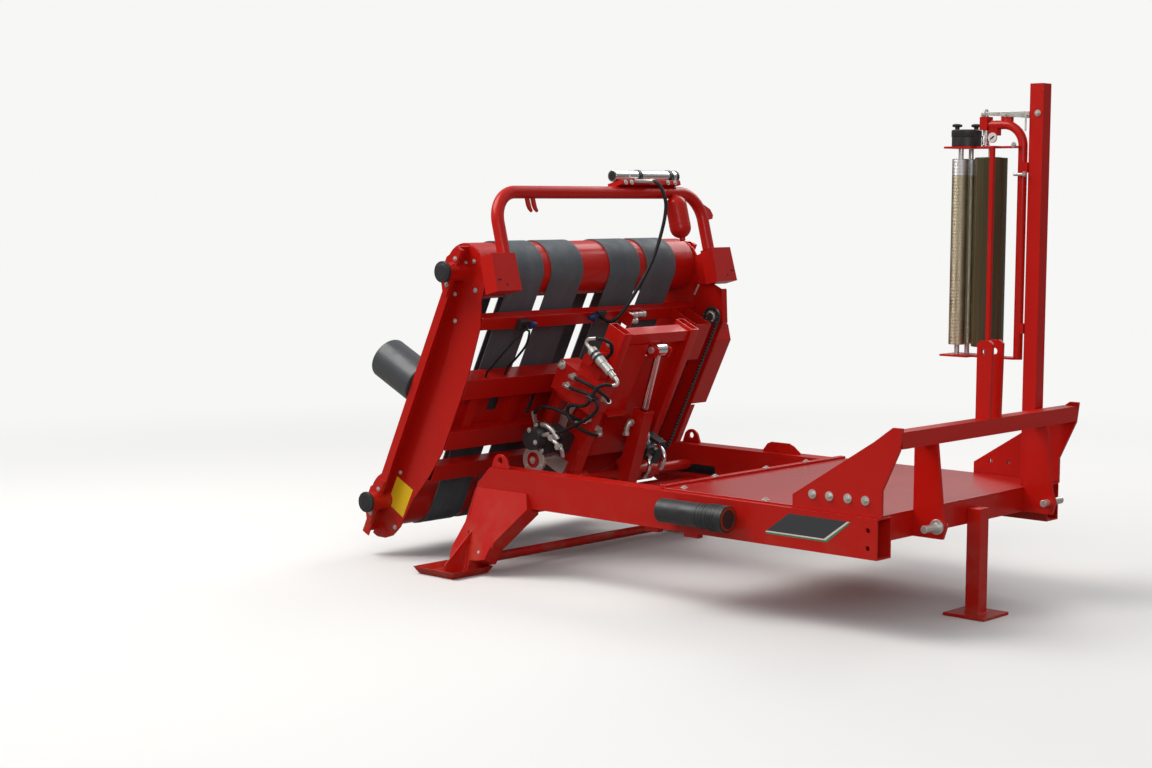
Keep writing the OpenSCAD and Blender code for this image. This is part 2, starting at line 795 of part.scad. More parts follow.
// A round line of sides that follows a route.
module hose_line(p, r, n, up) {
    m = len(p);
    polyhedron(
        points = [for (i = [0:m - 1]) each ring_at(p, i, r, n, up)],
        faces = concat(
            [[for (k = [0:n - 1]) k]],
            [for (i = [0:m - 2], k = [0:n - 1]) [i * n + k, (i + 1) * n + k, (i + 1) * n + (k + 1) % n]],
            [for (i = [0:m - 2], k = [0:n - 1]) [i * n + k, (i + 1) * n + (k + 1) % n, i * n + (k + 1) % n]],
            [[for (k = [n - 1:-1:0]) (m - 1) * n + k]]
        )
    );
}

module tilt_hoses() {
    color(dark) on_tilt() {
        hose_line(smooth(tilt_routes[0], 2), hose_r, 8, [0.1, 0.2, 1]);
        hose_line(smooth(tilt_routes[1], 2), hose_r, 8, [1, 0.2, 0.1]);
        hose_line(smooth(tilt_routes[2], 2), hose_r, 8, [1, 0.3, 0.1]);
    }
}

// The blocks on the upper cross member that the cables and the cutter's hose plug into.
module cable_sockets() {
    front = rails[0][1] - rails[0][3] / 2 - hair;
    color(dark) on_table() {
        translate([375, -485, front - 25]) cube([50, 60, 25]);
        translate([388, 0, front - 15]) cube([56, 60, 15]);
    }
}

module cutter_hose() {
    color(dark) on_table() hose_line(smooth(cutter_route, 3), 8, 8, [0, 1, 0.2]);
}

module sensor_cable_1() {
    color(dark) on_table() hose_line(smooth(cable_route_1, 2), 5, 8, [0.2, 1, 0]);
}

module sensor_cable_2() {
    color(dark) on_table() hose_line(smooth(cable_route_2, 2), 5, 8, [0.2, 1, 0]);
}

module mast() {
    base = beam_top + 6 + 2 * hair;
    color(rail_red) translate([mast_x - mast_w / 2, mast_y - mast_w / 2, base]) difference() {
        cube([mast_w, mast_w, mast_top - base]);
        translate([4, 4, 12]) cube([mast_w - 8, mast_w - 8, mast_top]);
    }
}

// The film carrier: plates over and under the roll, a post, and the bent tube from the mast.
module film_frame() {
    color(rail_red) {
        for (z = [film_z - 44, film_z + film_l + 36]) {
            translate([head_x - 62, film_y - 68, z]) cube([124, 136, 8]);
            translate([head_x, film_y - 30, z]) cube([neck_x - head_x, 60, 8]);
        }
        translate([roll_x + 42, film_y - 84, film_z - 36 - e]) cube([16, 16, film_l + 72 + 2 * e]);
        for (z = [film_z - 44, film_z + film_l + 36])
            translate([roll_x + 42, film_y - 84, z]) cube([16, 60, 8]);
        translate([neck_x, film_y, film_z - 44])
            cylinder(r = neck_r, h = neck_top - neck_bend - film_z + 44);
        translate([neck_x - neck_bend, film_y, neck_top - neck_bend]) rotate([90, 0, 0])
            rotate_extrude(angle = 90) translate([neck_bend, 0]) circle(r = neck_r);
        translate([neck_end, film_y, neck_top]) rotate([0, 90, 0])
            cylinder(r = neck_r, h = neck_x - neck_bend - neck_end);
        translate([neck_end - 34, film_y - 22, neck_top - 20]) cube([34 + e, 44, 52]);
        translate([neck_end + 55, film_y - 10, neck_top]) cube([45, 20, 44]);
        translate([neck_end + 6, film_y - 16, neck_top - 42]) cube([36, 32, 42]);
        for (z = [film_z + 60, film_z + film_l - 60])
            translate([neck_x, film_y - 16, z]) cube([mast_x - mast_w / 2 - neck_x - hair, 32, 40]);
    }
}

// The zinc-plated lever over the neck and the spring under its end.
module neck_lever() {
    color(steel) {
        translate([neck_end - 34, film_y - 12, neck_top + 44 + hair])
            cube([mast_x - mast_w / 2 - neck_end + 34 - hair, 24, 6]);
        translate([neck_end - 17, film_y, neck_top + 32 + hair]) cylinder(r = 9, h = 12 + 2 * e);
        translate([neck_end - 17, film_y, film_z + film_l + 44 + hair])
            cylinder(r = 12, h = neck_top - 64 - film_z - film_l - 2 * hair);
    }
}

module film_roll() {
    color(dark) translate([roll_x, film_y, film_z]) difference() {
        cylinder(r = film_r, h = film_l);
        translate([0, 0, -1]) cylinder(r = 12 + run, h = film_l + 2);
    }
}

module film_spindle() {
    color(steel) translate([0, film_y, film_z - 36 + hair]) {
        translate([roll_x, 0, 0]) cylinder(r = 12, h = film_l + 72 - 2 * hair);
        for (y = [-38, 38])
            translate([head_x, y, 0]) cylinder(r = 10, h = film_l + 72 - 2 * hair);
    }
}

module stretch_roller(y) {
    color(steel) translate([head_x, film_y + y, film_z + 5]) difference() {
        cylinder(r = stretch_r, h = film_l - 10);
        translate([0, 0, -1]) cylinder(r = 10 + run, h = film_l);
    }
}

module stretch_roller_1() {
    stretch_roller(-38);
}

module stretch_roller_2() {
    stretch_roller(38);
}

module gear_head() {
    color(dark) translate([head_x, film_y, film_z + film_l + 44 + hair]) {
        cylinder(r = 58, h = 42);
        for (y = [-32, 32]) translate([0, y, 42 - e]) {
            cylinder(r = 9, h = 12);
            translate([0, 0, 12 - e]) cylinder(r = 19, h = 9);
        }
    }
}

side_beams();
rear_legs();
rear_feet();
foot_brace();
cross_members();
lifting_eyes();
deck_plate();
head_plates();
head_frame();
link_pins();
parking_leg();
tip_shaft();
document_tube();
cylinder_pins();
mast();
film_frame();
neck_lever();
film_spindle();
film_roll();
stretch_roller_1();
stretch_roller_2();
gear_head();
tilt_arms();
tilt_head();
tilt_plates();
slew_base();
gear_box();
oil_motors();
motor_disc();
rod_pin();
tip_cylinder();
cylinder_guard();
tip_rod();
slew_ring();
hub_plate();
hub_beams();
side_channels();
table_rails();
centre_panel();
table_rollers();
belts();
chain_case();
chain_cover();
chain_drive();
shaft_caps();
support_stubs();
support_roller_right();
support_roller_left();
hoop_sockets();
hoop();
cutter_bracket();
cutter_cylinder();
accumulator();
tilt_hoses();
cable_sockets();
cutter_hose();
sensor_cable_1();
sensor_cable_2();
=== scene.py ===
"""Turntable bale wrapper: paint, rubber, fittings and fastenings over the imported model.

Everything is in metres in the part's own frame: +X forward, +Y left, +Z up.
"""
import json
import math

import bmesh
import bpy
from mathutils import Matrix, Vector

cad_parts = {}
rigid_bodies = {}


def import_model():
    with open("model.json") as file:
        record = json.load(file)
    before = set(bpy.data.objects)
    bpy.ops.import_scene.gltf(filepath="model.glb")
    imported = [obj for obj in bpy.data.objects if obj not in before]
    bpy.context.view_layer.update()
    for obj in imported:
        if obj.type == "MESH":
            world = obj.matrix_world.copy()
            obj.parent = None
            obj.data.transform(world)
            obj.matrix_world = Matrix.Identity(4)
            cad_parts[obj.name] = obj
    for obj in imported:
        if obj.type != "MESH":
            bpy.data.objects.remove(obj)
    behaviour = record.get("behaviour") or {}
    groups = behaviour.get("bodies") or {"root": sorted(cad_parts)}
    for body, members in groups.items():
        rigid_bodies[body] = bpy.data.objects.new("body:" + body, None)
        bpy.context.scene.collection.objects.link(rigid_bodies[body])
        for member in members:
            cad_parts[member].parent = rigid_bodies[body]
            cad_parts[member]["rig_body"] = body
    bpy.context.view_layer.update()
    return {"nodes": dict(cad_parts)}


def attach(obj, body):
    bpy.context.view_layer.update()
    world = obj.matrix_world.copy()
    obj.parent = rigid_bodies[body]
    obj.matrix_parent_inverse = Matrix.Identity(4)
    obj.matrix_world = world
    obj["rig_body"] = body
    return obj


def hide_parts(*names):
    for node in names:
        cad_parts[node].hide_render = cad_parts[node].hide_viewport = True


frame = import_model()

# Places and angles of the part that the trim stands on, in metres and radians
TIP = math.radians(64.6)
TIP_AXIS = Vector((-1.870, 0.0, 0.350))
BEAM_OUT = 0.645
BEAM_TOP = 0.440
DECK_TOP = 0.4462
LEG_LEAN = math.radians(22.0)
WEB_Y = 0.700
ROLLER_U = 0.560
RAIL_FRONT = -0.1876
ARM_FACE = -0.2453
HOOP_LIFT = math.radians(40.0)
CUTTER_A = 0.4206
SPROCKETS = ((0.450, -0.316), (-0.250, -0.316))
SPROCKET_FACE = 0.6588
CHAIN_RUNS = (-0.3575, -0.2745)
CHAIN_PINS = 43
GEAR_HEAD = (-0.360, 0.445)
FILM_ROLL = (-0.245, 0.445)
FILM_ENDS = (0.9848, 1.7352)
NECK = (-0.272, 0.445)
BOX_FACE = -0.3555
MOTOR_FACE = -0.3803
DISC = (0.035, -0.3583, 0.140)
FAR_MOTOR = (0.165, 0.0697, -0.060)

shift = Matrix.Translation
HALF_TURN = Matrix.Rotation(math.pi, 4, "Z")
GROUND = Matrix.Identity(4)
TILT = shift(TIP_AXIS) @ Matrix.Rotation(-TIP, 4, "Y")
TABLE = TILT @ shift((0.180, 0.0, 0.565))
HOOP = TABLE @ shift((0.655, 0.0, -0.210)) @ Matrix.Rotation(-HOOP_LIFT, 4, "Y")
SIDES = ((-1, "right"), (1, "left"))


def placed(name, data):
    """A new object in the scene."""
    made = bpy.data.objects.new(name, data)
    bpy.context.scene.collection.objects.link(made)
    return made


def wired(tree, kind, inputs=None, **settings):
    """A new node with its settings, and each input linked to a socket or set to a value."""
    node = tree.nodes.new(kind)
    for name, value in settings.items():
        setattr(node, name, value)
    for key, value in (inputs or {}).items():
        if isinstance(value, bpy.types.NodeSocket):
            tree.links.new(value, node.inputs[key])
        else:
            node.inputs[key].default_value = value
    return node


# Camera, light and floor

BACKDROP = (0.93, 0.93, 0.92, 1.0)


def photo_camera():
    """The photograph's own viewpoint: 62.5 mm on a 36 mm wide frame of 1152 x 768."""
    yaw, pitch, roll = (math.radians(a) for a in (42.466, 5.422, 0.267))
    ahead = Vector((-math.sin(yaw) * math.cos(pitch), math.cos(yaw) * math.cos(pitch), -math.sin(pitch)))
    level = Vector((math.cos(yaw), math.sin(yaw), 0.0))
    above = level.cross(ahead)
    right = level * math.cos(roll) + above * math.sin(roll)
    up = above * math.cos(roll) - level * math.sin(roll)
    data = bpy.data.cameras.new("photo_camera")
    data.lens = 62.5
    data.sensor_width = 36.0
    data.sensor_fit = "HORIZONTAL"
    data.clip_end = 200.0
    camera = placed("photo_camera", data)
    camera.matrix_world = shift((3.925, -6.541, 1.583)) @ Matrix((right, up, -ahead)).transposed().to_4x4()
    bpy.context.scene.camera = camera


def area_lamp(name, at, target, size, power, colour):
    data = bpy.data.lights.new(name, "AREA")
    data.shape = "RECTANGLE"
    data.size, data.size_y = size
    data.energy = power
    data.color = colour
    lamp = placed(name, data)
    lamp.location = at
    lamp.rotation_euler = (Vector(target) - Vector(at)).to_track_quat("-Z", "Y").to_euler()


def pale_floor():
    """Pale where the camera sees it, darker in reflections, and the backdrop's own tone further out."""
    paint = bpy.data.materials.new("floor_pale")
    paint.use_nodes = True
    tree = paint.node_tree
    seen = wired(tree, "ShaderNodeLightPath").outputs["Is Camera Ray"]
    tone = wired(tree, "ShaderNodeMix", {"A": (0.30, 0.28, 0.26, 1.0), "B": (0.86, 0.85, 0.83, 1.0),
                                         "Factor": seen}, data_type="RGBA")
    shader = tree.nodes["Principled BSDF"]
    shader.inputs["Roughness"].default_value = 0.9
    shader.inputs["Specular IOR Level"].default_value = 0.1
    tree.links.new(tone.outputs["Result"], shader.inputs["Base Color"])
    where = wired(tree, "ShaderNodeTexCoord").outputs["Object"]
    reach = wired(tree, "ShaderNodeVectorMath", {0: where}, operation="LENGTH").outputs["Value"]
    fade = wired(tree, "ShaderNodeMapRange", {"Value": reach, "From Min": 2.6, "From Max": 7.5},
                 interpolation_type="SMOOTHSTEP").outputs["Result"]
    share = wired(tree, "ShaderNodeMath", {0: fade, 1: seen}, operation="MULTIPLY").outputs[0]
    glow = wired(tree, "ShaderNodeEmission", {"Color": BACKDROP}).outputs["Emission"]
    both = wired(tree, "ShaderNodeMixShader", {"Fac": share, 1: shader.outputs["BSDF"], 2: glow})
    tree.links.new(both.outputs["Shader"], tree.nodes["Material Output"].inputs["Surface"])
    return paint


def studio():
    bpy.context.scene.view_settings.view_transform = "Standard"
    world = bpy.data.worlds.new("studio_world")
    bpy.context.scene.world = world
    world.use_nodes = True
    tree = world.node_tree
    tree.nodes.clear()
    # A sky that is dark below and pale above lights the piece, and the camera sees one pale tone
    where = wired(tree, "ShaderNodeTexCoord").outputs["Generated"]
    turned = wired(tree, "ShaderNodeMapping", {"Vector": where, "Rotation": (0.0, math.radians(90.0), 0.0)})
    height = wired(tree, "ShaderNodeTexGradient", {"Vector": turned.outputs["Vector"]})
    shade = wired(tree, "ShaderNodeValToRGB", {"Fac": height.outputs["Fac"]})
    for stop, position, colour in zip(shade.color_ramp.elements, (0.0, 0.62),
                                      ((0.13, 0.12, 0.11, 1.0), (0.50, 0.52, 0.54, 1.0))):
        stop.position = position
        stop.color = colour
    sky = wired(tree, "ShaderNodeBackground", {"Color": shade.outputs["Color"]})
    backdrop = wired(tree, "ShaderNodeBackground", {"Color": BACKDROP})
    seen = wired(tree, "ShaderNodeLightPath").outputs["Is Camera Ray"]
    both = wired(tree, "ShaderNodeMixShader",
                 {"Fac": seen, 1: sky.outputs["Background"], 2: backdrop.outputs["Background"]})
    wired(tree, "ShaderNodeOutputWorld", {"Surface": both.outputs["Shader"]})

    area_lamp("sky_key", (-4.5, -3.5, 6.5), (-1.2, 0.0, 0.8), (5.0, 5.0), 430.0, (1.0, 0.98, 0.95))
    area_lamp("front_fill", (4.5, -6.0, 3.0), (-1.0, 0.0, 0.8), (4.0, 3.0), 120.0, (0.97, 0.98, 1.0))
    area_lamp("back_rim", (-2.0, 6.0, 5.0), (-1.2, 0.0, 0.8), (5.0, 3.0), 170.0, (1.0, 0.98, 0.96))

    bpy.ops.mesh.primitive_circle_add(vertices=96, radius=60.0, fill_type="NGON",
                                      location=(-1.1, 0.0, -0.0005))
    floor = bpy.context.object
    floor.name = "studio_floor"
    floor.data.materials.append(pale_floor())


# Materials

FINISH = {}


class Finish:
    """One procedural material, built up node by node from Object coordinates."""

    def __init__(self, key, name, colour, roughness, metallic=0.0, coat=0.0, coat_roughness=0.05,
                 turn=(0.0, 0.0, 0.0)):
        FINISH[key] = self
        self.material = bpy.data.materials.new(name)
        self.material.use_nodes = True
        self.material.diffuse_color = (*colour, 1.0)
        self.tree = self.material.node_tree
        self.shader = self.tree.nodes["Principled BSDF"]
        for label, value in (("Base Color", (*colour, 1.0)), ("Roughness", roughness), ("Metallic", metallic),
                             ("Coat Weight", coat), ("Coat Roughness", coat_roughness)):
            self.shader.inputs[label].default_value = value
        place = wired(self.tree, "ShaderNodeTexCoord").outputs["Object"]
        self.where = wired(self.tree, "ShaderNodeMapping",
                           {"Rotation": turn, "Vector": place}).outputs["Vector"]
        self.normal = None

    def noise(self, scale, detail, stretch=None):
        where = self.where
        if stretch:
            where = wired(self.tree, "ShaderNodeVectorMath", {0: where, 1: stretch},
                          operation="MULTIPLY").outputs[0]
        return wired(self.tree, "ShaderNodeTexNoise",
                     {"Scale": scale, "Detail": detail, "Vector": where}).outputs["Fac"]

    def upright_ribs(self, scale):
        return wired(self.tree, "ShaderNodeTexWave", {"Scale": scale, "Vector": self.where},
                     bands_direction="Z").outputs["Fac"]

    def ranged(self, value, low, high, to_low, to_high):
        return wired(self.tree, "ShaderNodeMapRange",
                     {"Value": value, "From Min": low, "From Max": high, "To Min": to_low,
                      "To Max": to_high}).outputs["Result"]

    def height(self):
        return wired(self.tree, "ShaderNodeSeparateXYZ", {0: self.where}).outputs["Z"]

    def tint(self, amount, colour):
        """Lays a second colour over the first, by the given amount."""
        base = self.shader.inputs["Base Color"]
        under = base.links[0].from_socket if base.is_linked else base.default_value
        mix = wired(self.tree, "ShaderNodeMix", {"Factor": amount, "A": under, "B": (*colour, 1.0)},
                    data_type="RGBA")
        self.tree.links.new(mix.outputs["Result"], base)

    def mottle(self, scale, detail, low, high, amount, colour, stretch=None):
        self.tint(self.ranged(self.noise(scale, detail, stretch), low, high, 0.0, amount), colour)

    def rough(self, scale, detail, to_low, to_high, high=0.7):
        self.tree.links.new(self.ranged(self.noise(scale, detail), 0.3, high, to_low, to_high),
                            self.shader.inputs["Roughness"])

    def bump(self, value, strength, distance):
        given = {"Strength": strength, "Distance": distance, "Height": value}
        if self.normal is not None:
            given["Normal"] = self.normal
        self.normal = wired(self.tree, "ShaderNodeBump", given).outputs["Normal"]
        self.tree.links.new(self.normal, self.shader.inputs["Normal"])

    def dust(self, top, strength):
        """Pale field dust that thins out with height."""
        low = self.ranged(self.height(), 0.0, top, 1.0, 0.0)
        patches = self.ranged(self.noise(14.0, 5.0), 0.42, 0.72, 0.0, strength)
        amount = wired(self.tree, "ShaderNodeMath", {0: low, 1: patches}, operation="MULTIPLY").outputs[0]
        self.tint(amount, (0.27, 0.20, 0.13))


def make_finishes():
    red = Finish("red_paint", "gloss_red_paint", (0.560, 0.0080, 0.0035), 0.36,
                 coat=0.20, coat_roughness=0.08)
    red.shader.inputs["Specular IOR Level"].default_value = 0.22
    red.mottle(2.2, 2.0, 0.35, 0.70, 0.55, (0.480, 0.0065, 0.0035))
    red.dust(0.42, 0.30)
    red.rough(6.0, 4.0, 0.30, 0.44, 0.75)
    red.bump(red.noise(240.0, 2.0), 0.05, 0.0006)

    # The deck is rubbed smooth by boots, so its top mirrors the sky more than the rest does
    deck = Finish("deck_paint", "smooth_red_deck", (0.540, 0.0080, 0.0035), 0.30,
                  coat=0.75, coat_roughness=0.16)
    deck.mottle(2.2, 2.0, 0.35, 0.70, 0.5, (0.470, 0.0065, 0.0035))
    deck.dust(0.42, 0.30)
    deck.rough(3.5, 1.0, 0.27, 0.35, 0.75)

    rubber = Finish("black_rubber", "belt_rubber", (0.082, 0.102, 0.116), 0.62, turn=(0.0, TIP, 0.0))
    rubber.mottle(5.0, 4.0, 0.40, 0.75, 0.6, (0.115, 0.137, 0.152), (1.0, 3.0, 1.0))
    rubber.mottle(60.0, 3.0, 0.55, 0.8, 0.35, (0.17, 0.175, 0.18), (0.3, 1.0, 1.0))
    rubber.rough(18.0, 3.0, 0.5, 0.72)
    rubber.bump(rubber.noise(900.0, 2.0), 0.25, 0.0004)

    plastic = Finish("black_plastic", "satin_black_plastic", (0.022, 0.022, 0.024), 0.42)
    plastic.mottle(9.0, 4.0, 0.45, 0.75, 0.5, (0.045, 0.045, 0.047))
    plastic.rough(25.0, 3.0, 0.34, 0.52)
    plastic.bump(plastic.noise(700.0, 2.0), 0.12, 0.0003)

    satin = Finish("satin_grey", "satin_grey_roller", (0.060, 0.064, 0.070), 0.34)
    satin.mottle(7.0, 4.0, 0.45, 0.75, 0.5, (0.085, 0.088, 0.092))
    satin.rough(22.0, 3.0, 0.28, 0.44)

    film = Finish("film_wrap", "wound_film", (0.060, 0.046, 0.020), 0.22, coat=0.4, coat_roughness=0.12)
    film.mottle(2.0, 3.0, 0.4, 0.7, 0.6, (0.11, 0.085, 0.040), (60.0, 60.0, 1.0))
    film.bump(film.noise(3.0, 2.0, (120.0, 120.0, 2.0)), 0.15, 0.0006)

    zinc = Finish("zinc_steel", "zinc_plate", (0.74, 0.73, 0.70), 0.34, metallic=0.82)
    zinc.mottle(30.0, 4.0, 0.4, 0.75, 0.6, (0.60, 0.56, 0.47))
    zinc.rough(50.0, 3.0, 0.28, 0.5)

    chrome = Finish("chrome", "hard_chrome", (0.82, 0.82, 0.84), 0.09, metallic=1.0)
    chrome.rough(35.0, 2.0, 0.06, 0.16)

    aluminium = Finish("aluminium", "ribbed_aluminium", (0.72, 0.72, 0.71), 0.38, metallic=1.0)
    aluminium.tint(aluminium.ranged(aluminium.height(), 1.664, 1.666, 1.0, 0.0), (0.50, 0.45, 0.31))
    aluminium.bump(aluminium.upright_ribs(55.0), 0.5, 0.0015)
    aluminium.rough(20.0, 3.0, 0.3, 0.5)

    # Flat near-black for slots, holes and open ends: painted shade standing in for their shaded insides
    inner = Finish("painted_shade", "painted_shade_black", (0.006, 0.006, 0.006), 0.7)
    inner.mottle(30.0, 3.0, 0.5, 0.8, 0.5, (0.012, 0.010, 0.010))

    hose = Finish("hose", "hose_rubber", (0.007, 0.007, 0.008), 0.52)
    hose.shader.inputs["Specular IOR Level"].default_value = 0.35
    hose.mottle(40.0, 3.0, 0.5, 0.8, 0.5, (0.016, 0.016, 0.016))
    hose.bump(hose.noise(500.0, 2.0), 0.15, 0.0003)

    brass = Finish("brass", "dull_brass", (0.46, 0.33, 0.14), 0.34, metallic=1.0)
    brass.rough(60.0, 3.0, 0.26, 0.46)

    yellow = Finish("yellow", "yellow_plate", (0.95, 0.62, 0.015), 0.40)
    yellow.mottle(25.0, 3.0, 0.5, 0.8, 0.3, (0.82, 0.50, 0.03))

    slate = Finish("slate", "slate_plate", (0.040, 0.044, 0.050), 0.30, coat=0.3)
    slate.mottle(20.0, 3.0, 0.5, 0.8, 0.3, (0.055, 0.060, 0.066))

    white = Finish("white", "white_stripe", (0.74, 0.73, 0.70), 0.35)
    white.mottle(30.0, 3.0, 0.5, 0.8, 0.4, (0.62, 0.60, 0.56))

    green = Finish("green", "green_stripe", (0.015, 0.26, 0.11), 0.35)
    green.mottle(30.0, 3.0, 0.5, 0.8, 0.4, (0.012, 0.21, 0.09))

    blue = Finish("blue", "blue_connector", (0.012, 0.035, 0.13), 0.4)
    blue.mottle(60.0, 3.0, 0.5, 0.8, 0.4, (0.02, 0.05, 0.17))


# Pieces

def finished(name, bm, finish, body, bevel, angle):
    """What a bmesh holds as one smooth, bevelled and painted piece that rides on a body."""
    for face in bm.faces:
        face.smooth = True
    mesh = bpy.data.meshes.new(name)
    bm.to_mesh(mesh)
    bm.free()
    mesh.set_sharp_from_angle(angle=math.radians(angle))
    mesh.materials.append(FINISH[finish].material)
    piece = placed(name, mesh)
    if bevel:
        soften = piece.modifiers.new("edges", "BEVEL")
        soften.width = bevel
        soften.segments = 2
        soften.limit_method = "ANGLE"
        soften.angle_limit = math.radians(angle)
        soften.harden_normals = True
    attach(piece, body)
    return piece


def dressed(node, finish, bevel):
    """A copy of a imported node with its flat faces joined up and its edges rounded."""
    source = frame["nodes"][node]
    bm = bmesh.new()
    bm.from_mesh(source.data)
    bmesh.ops.remove_doubles(bm, verts=bm.verts, dist=2e-5)
    bmesh.ops.dissolve_limit(bm, angle_limit=math.radians(0.7), verts=bm.verts, edges=bm.edges,
                             delimit={"NORMAL"})
    piece = finished(node + "_finished", bm, finish, source["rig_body"], bevel, 32.0)
    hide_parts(node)


class Maker:
    """Collects solids of one finish that ride on one body, and makes them one piece."""

    def __init__(self, name, finish, body, slot=None):
        self.name, self.finish, self.body, self.slot = name, finish, body, slot or finish
        self.bm = bmesh.new()

    def box(self, place, low, high):
        made = bmesh.ops.create_cube(self.bm, size=1.0)
        low, high = Vector(low), Vector(high)
        size = Matrix.Diagonal((*(high - low), 1.0))
        bmesh.ops.transform(self.bm, matrix=place @ shift((low + high) / 2) @ size, verts=made["verts"])
        return self

    def skin(self, rings):
        """Closes the side between rings of points, and both ends."""
        rings = [[self.bm.verts.new(p) for p in ring] for ring in rings]
        sides = len(rings[0])
        for a, b in zip(rings, rings[1:]):
            for k in range(sides):
                self.bm.faces.new((a[k], a[(k + 1) % sides], b[(k + 1) % sides], b[k]))
        self.bm.faces.new(list(reversed(rings[0])))
        self.bm.faces.new(rings[-1])
        return self

    def prism(self, place, outline, y0, y1):
        """A plate cut to an outline in the place's XZ plane, between y0 and y1."""
        return self.skin([[place @ Vector((p[0], y, p[1])) for p in outline] for y in (y0, y1)])

    def turned(self, place, axis, profile, segments=32):
        """A solid of revolution about the place's X, Y or Z: rows of (distance along, radius)."""
        turn = {"X": Matrix.Rotation(math.radians(90), 4, "Y"),
                "Y": Matrix.Rotation(math.radians(-90), 4, "X"), "Z": GROUND}[axis]
        angles = [2 * math.pi * k / segments for k in range(segments)]
        return self.skin([[place @ turn @ Vector((radius * math.cos(a), radius * math.sin(a), along))
                           for a in angles] for along, radius in profile])

    def nut(self, place, axis, half, radius):
        """A six-sided nut centred on the place, given half its thickness and its radius."""
        return self.turned(place, axis, [(-half, radius), (half, radius)], 6)

    def tube(self, place, points, radius, sides=12, steps=6):
        """A round tube along a smooth line through the points."""
        return self.skin(sweep_rings(smooth_line([place @ Vector(p) for p in points], steps), radius, sides))

    def done(self, bevel=0.0, angle=32.0):
        bmesh.ops.recalc_face_normals(self.bm, faces=self.bm.faces)
        return finished(self.name, self.bm, self.finish, self.body, bevel, angle)


def stretch_of(before, a, b, after, steps):
    """A Catmull-Rom line from a to just short of b."""
    return [0.5 * ((2 * a) + (b - before) * t + (2 * before - 5 * a + 4 * b - after) * t ** 2
                   + (3 * a - before - 3 * b + after) * t ** 3) for t in (k / steps for k in range(steps))]


def smooth_line(points, steps):
    """A smooth line through all the points."""
    if len(points) == 2:
        return points
    ends = [points[0] * 2 - points[1], *points, points[-1] * 2 - points[-2]]
    return [p for i in range(len(points) - 1) for p in stretch_of(*ends[i:i + 4], steps)] + points[-1:]


def sweep_rings(line, radius, sides):
    rings = []
    side = None
    for i, p in enumerate(line):
        along = (line[min(i + 1, len(line) - 1)] - line[max(i - 1, 0)]).normalized()
        if side is None:
            side = along.orthogonal().normalized()
        side = (side - along * side.dot(along)).normalized()
        other = along.cross(side)
        angles = [2 * math.pi * k / sides for k in range(sides)]
        rings.append([p + (side * math.cos(a) + other * math.sin(a)) * radius for a in angles])
    return rings


# Fastenings that repeat, made with Geometry Nodes

def bolt_tree():
    """Places a bolt on each point: washer, six-sided head and a low dome, turned to the point's facing."""
    tree = bpy.data.node_groups.new("bolt_row", "GeometryNodeTree")
    for name, way, kind in (("Geometry", "INPUT", "Geometry"), ("Across", "INPUT", "Float"),
                            ("Height", "INPUT", "Float"), ("Finish", "INPUT", "Material"),
                            ("Geometry", "OUTPUT", "Geometry")):
        tree.interface.new_socket(name, in_out=way, socket_type="NodeSocket" + kind)
    given = wired(tree, "NodeGroupInput").outputs

    def scaled(name, factor):
        return wired(tree, "ShaderNodeMath", {0: given[name], 1: factor}, operation="MULTIPLY").outputs[0]

    join = wired(tree, "GeometryNodeJoinGeometry")
    for sides, radius, depth, lift in ((20, 0.92, 0.24, 0.12), (6, 0.577, 0.70, 0.55),
                                       (16, 0.40, 0.20, 0.95), (12, 0.26, 0.30, 1.10)):
        solid = wired(tree, "GeometryNodeMeshCylinder", {
            "Vertices": sides, "Radius": scaled("Across", radius), "Depth": scaled("Height", depth)})
        up = wired(tree, "ShaderNodeCombineXYZ", {"Z": scaled("Height", lift)})
        move = wired(tree, "GeometryNodeTransform", {
            "Geometry": solid.outputs["Mesh"], "Translation": up.outputs[0]})
        tree.links.new(move.outputs["Geometry"], join.inputs[0])
    facing = wired(tree, "GeometryNodeInputNamedAttribute", {"Name": "facing"}, data_type="FLOAT_VECTOR")
    aim = wired(tree, "FunctionNodeAlignEulerToVector", {"Vector": facing.outputs["Attribute"]}, axis="Z")
    rows = wired(tree, "GeometryNodeInstanceOnPoints", {
        "Points": given["Geometry"], "Instance": join.outputs[0], "Rotation": aim.outputs[0]})
    real = wired(tree, "GeometryNodeRealizeInstances", {0: rows.outputs[0]})
    coat = wired(tree, "GeometryNodeSetMaterial", {"Geometry": real.outputs[0], "Material": given["Finish"]})
    wired(tree, "NodeGroupOutput", {0: coat.outputs[0]})
    return tree


def bolts(name, body, place, rows, across=0.019, height=0.008):
    """A bolt for each row of (x, y, z, nx, ny, nz) in the given place, kept as one plain mesh."""
    seed = bpy.data.meshes.new(name + "_points")
    seed.from_pydata([tuple(place @ Vector(row[:3])) for row in rows], [], [])
    facing = seed.attributes.new("facing", "FLOAT_VECTOR", "POINT")
    for point, row in zip(facing.data, rows):
        point.vector = place.to_3x3() @ Vector(row[3:])
    base = placed(name + "_points", seed)
    grow = base.modifiers.new("grow", "NODES")
    grow.node_group = BOLT_TREE
    sockets = {item.name: item.identifier for item in BOLT_TREE.interface.items_tree
               if item.in_out == "INPUT" and item.item_type == "SOCKET"}
    for label, value in (("Across", across), ("Height", height), ("Finish", FINISH["zinc_steel"].material)):
        grow[sockets[label]] = value
    bpy.context.view_layer.update()
    evaluated = base.evaluated_get(bpy.context.evaluated_depsgraph_get())
    mesh = bpy.data.meshes.new_from_object(evaluated)
    piece = placed(name, mesh)
    bpy.data.objects.remove(base)
    bm = bmesh.new()
    bm.from_mesh(mesh)
    bmesh.ops.recalc_face_normals(bm, faces=bm.faces)
    bm.to_mesh(mesh)
    bm.free()
    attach(piece, body)


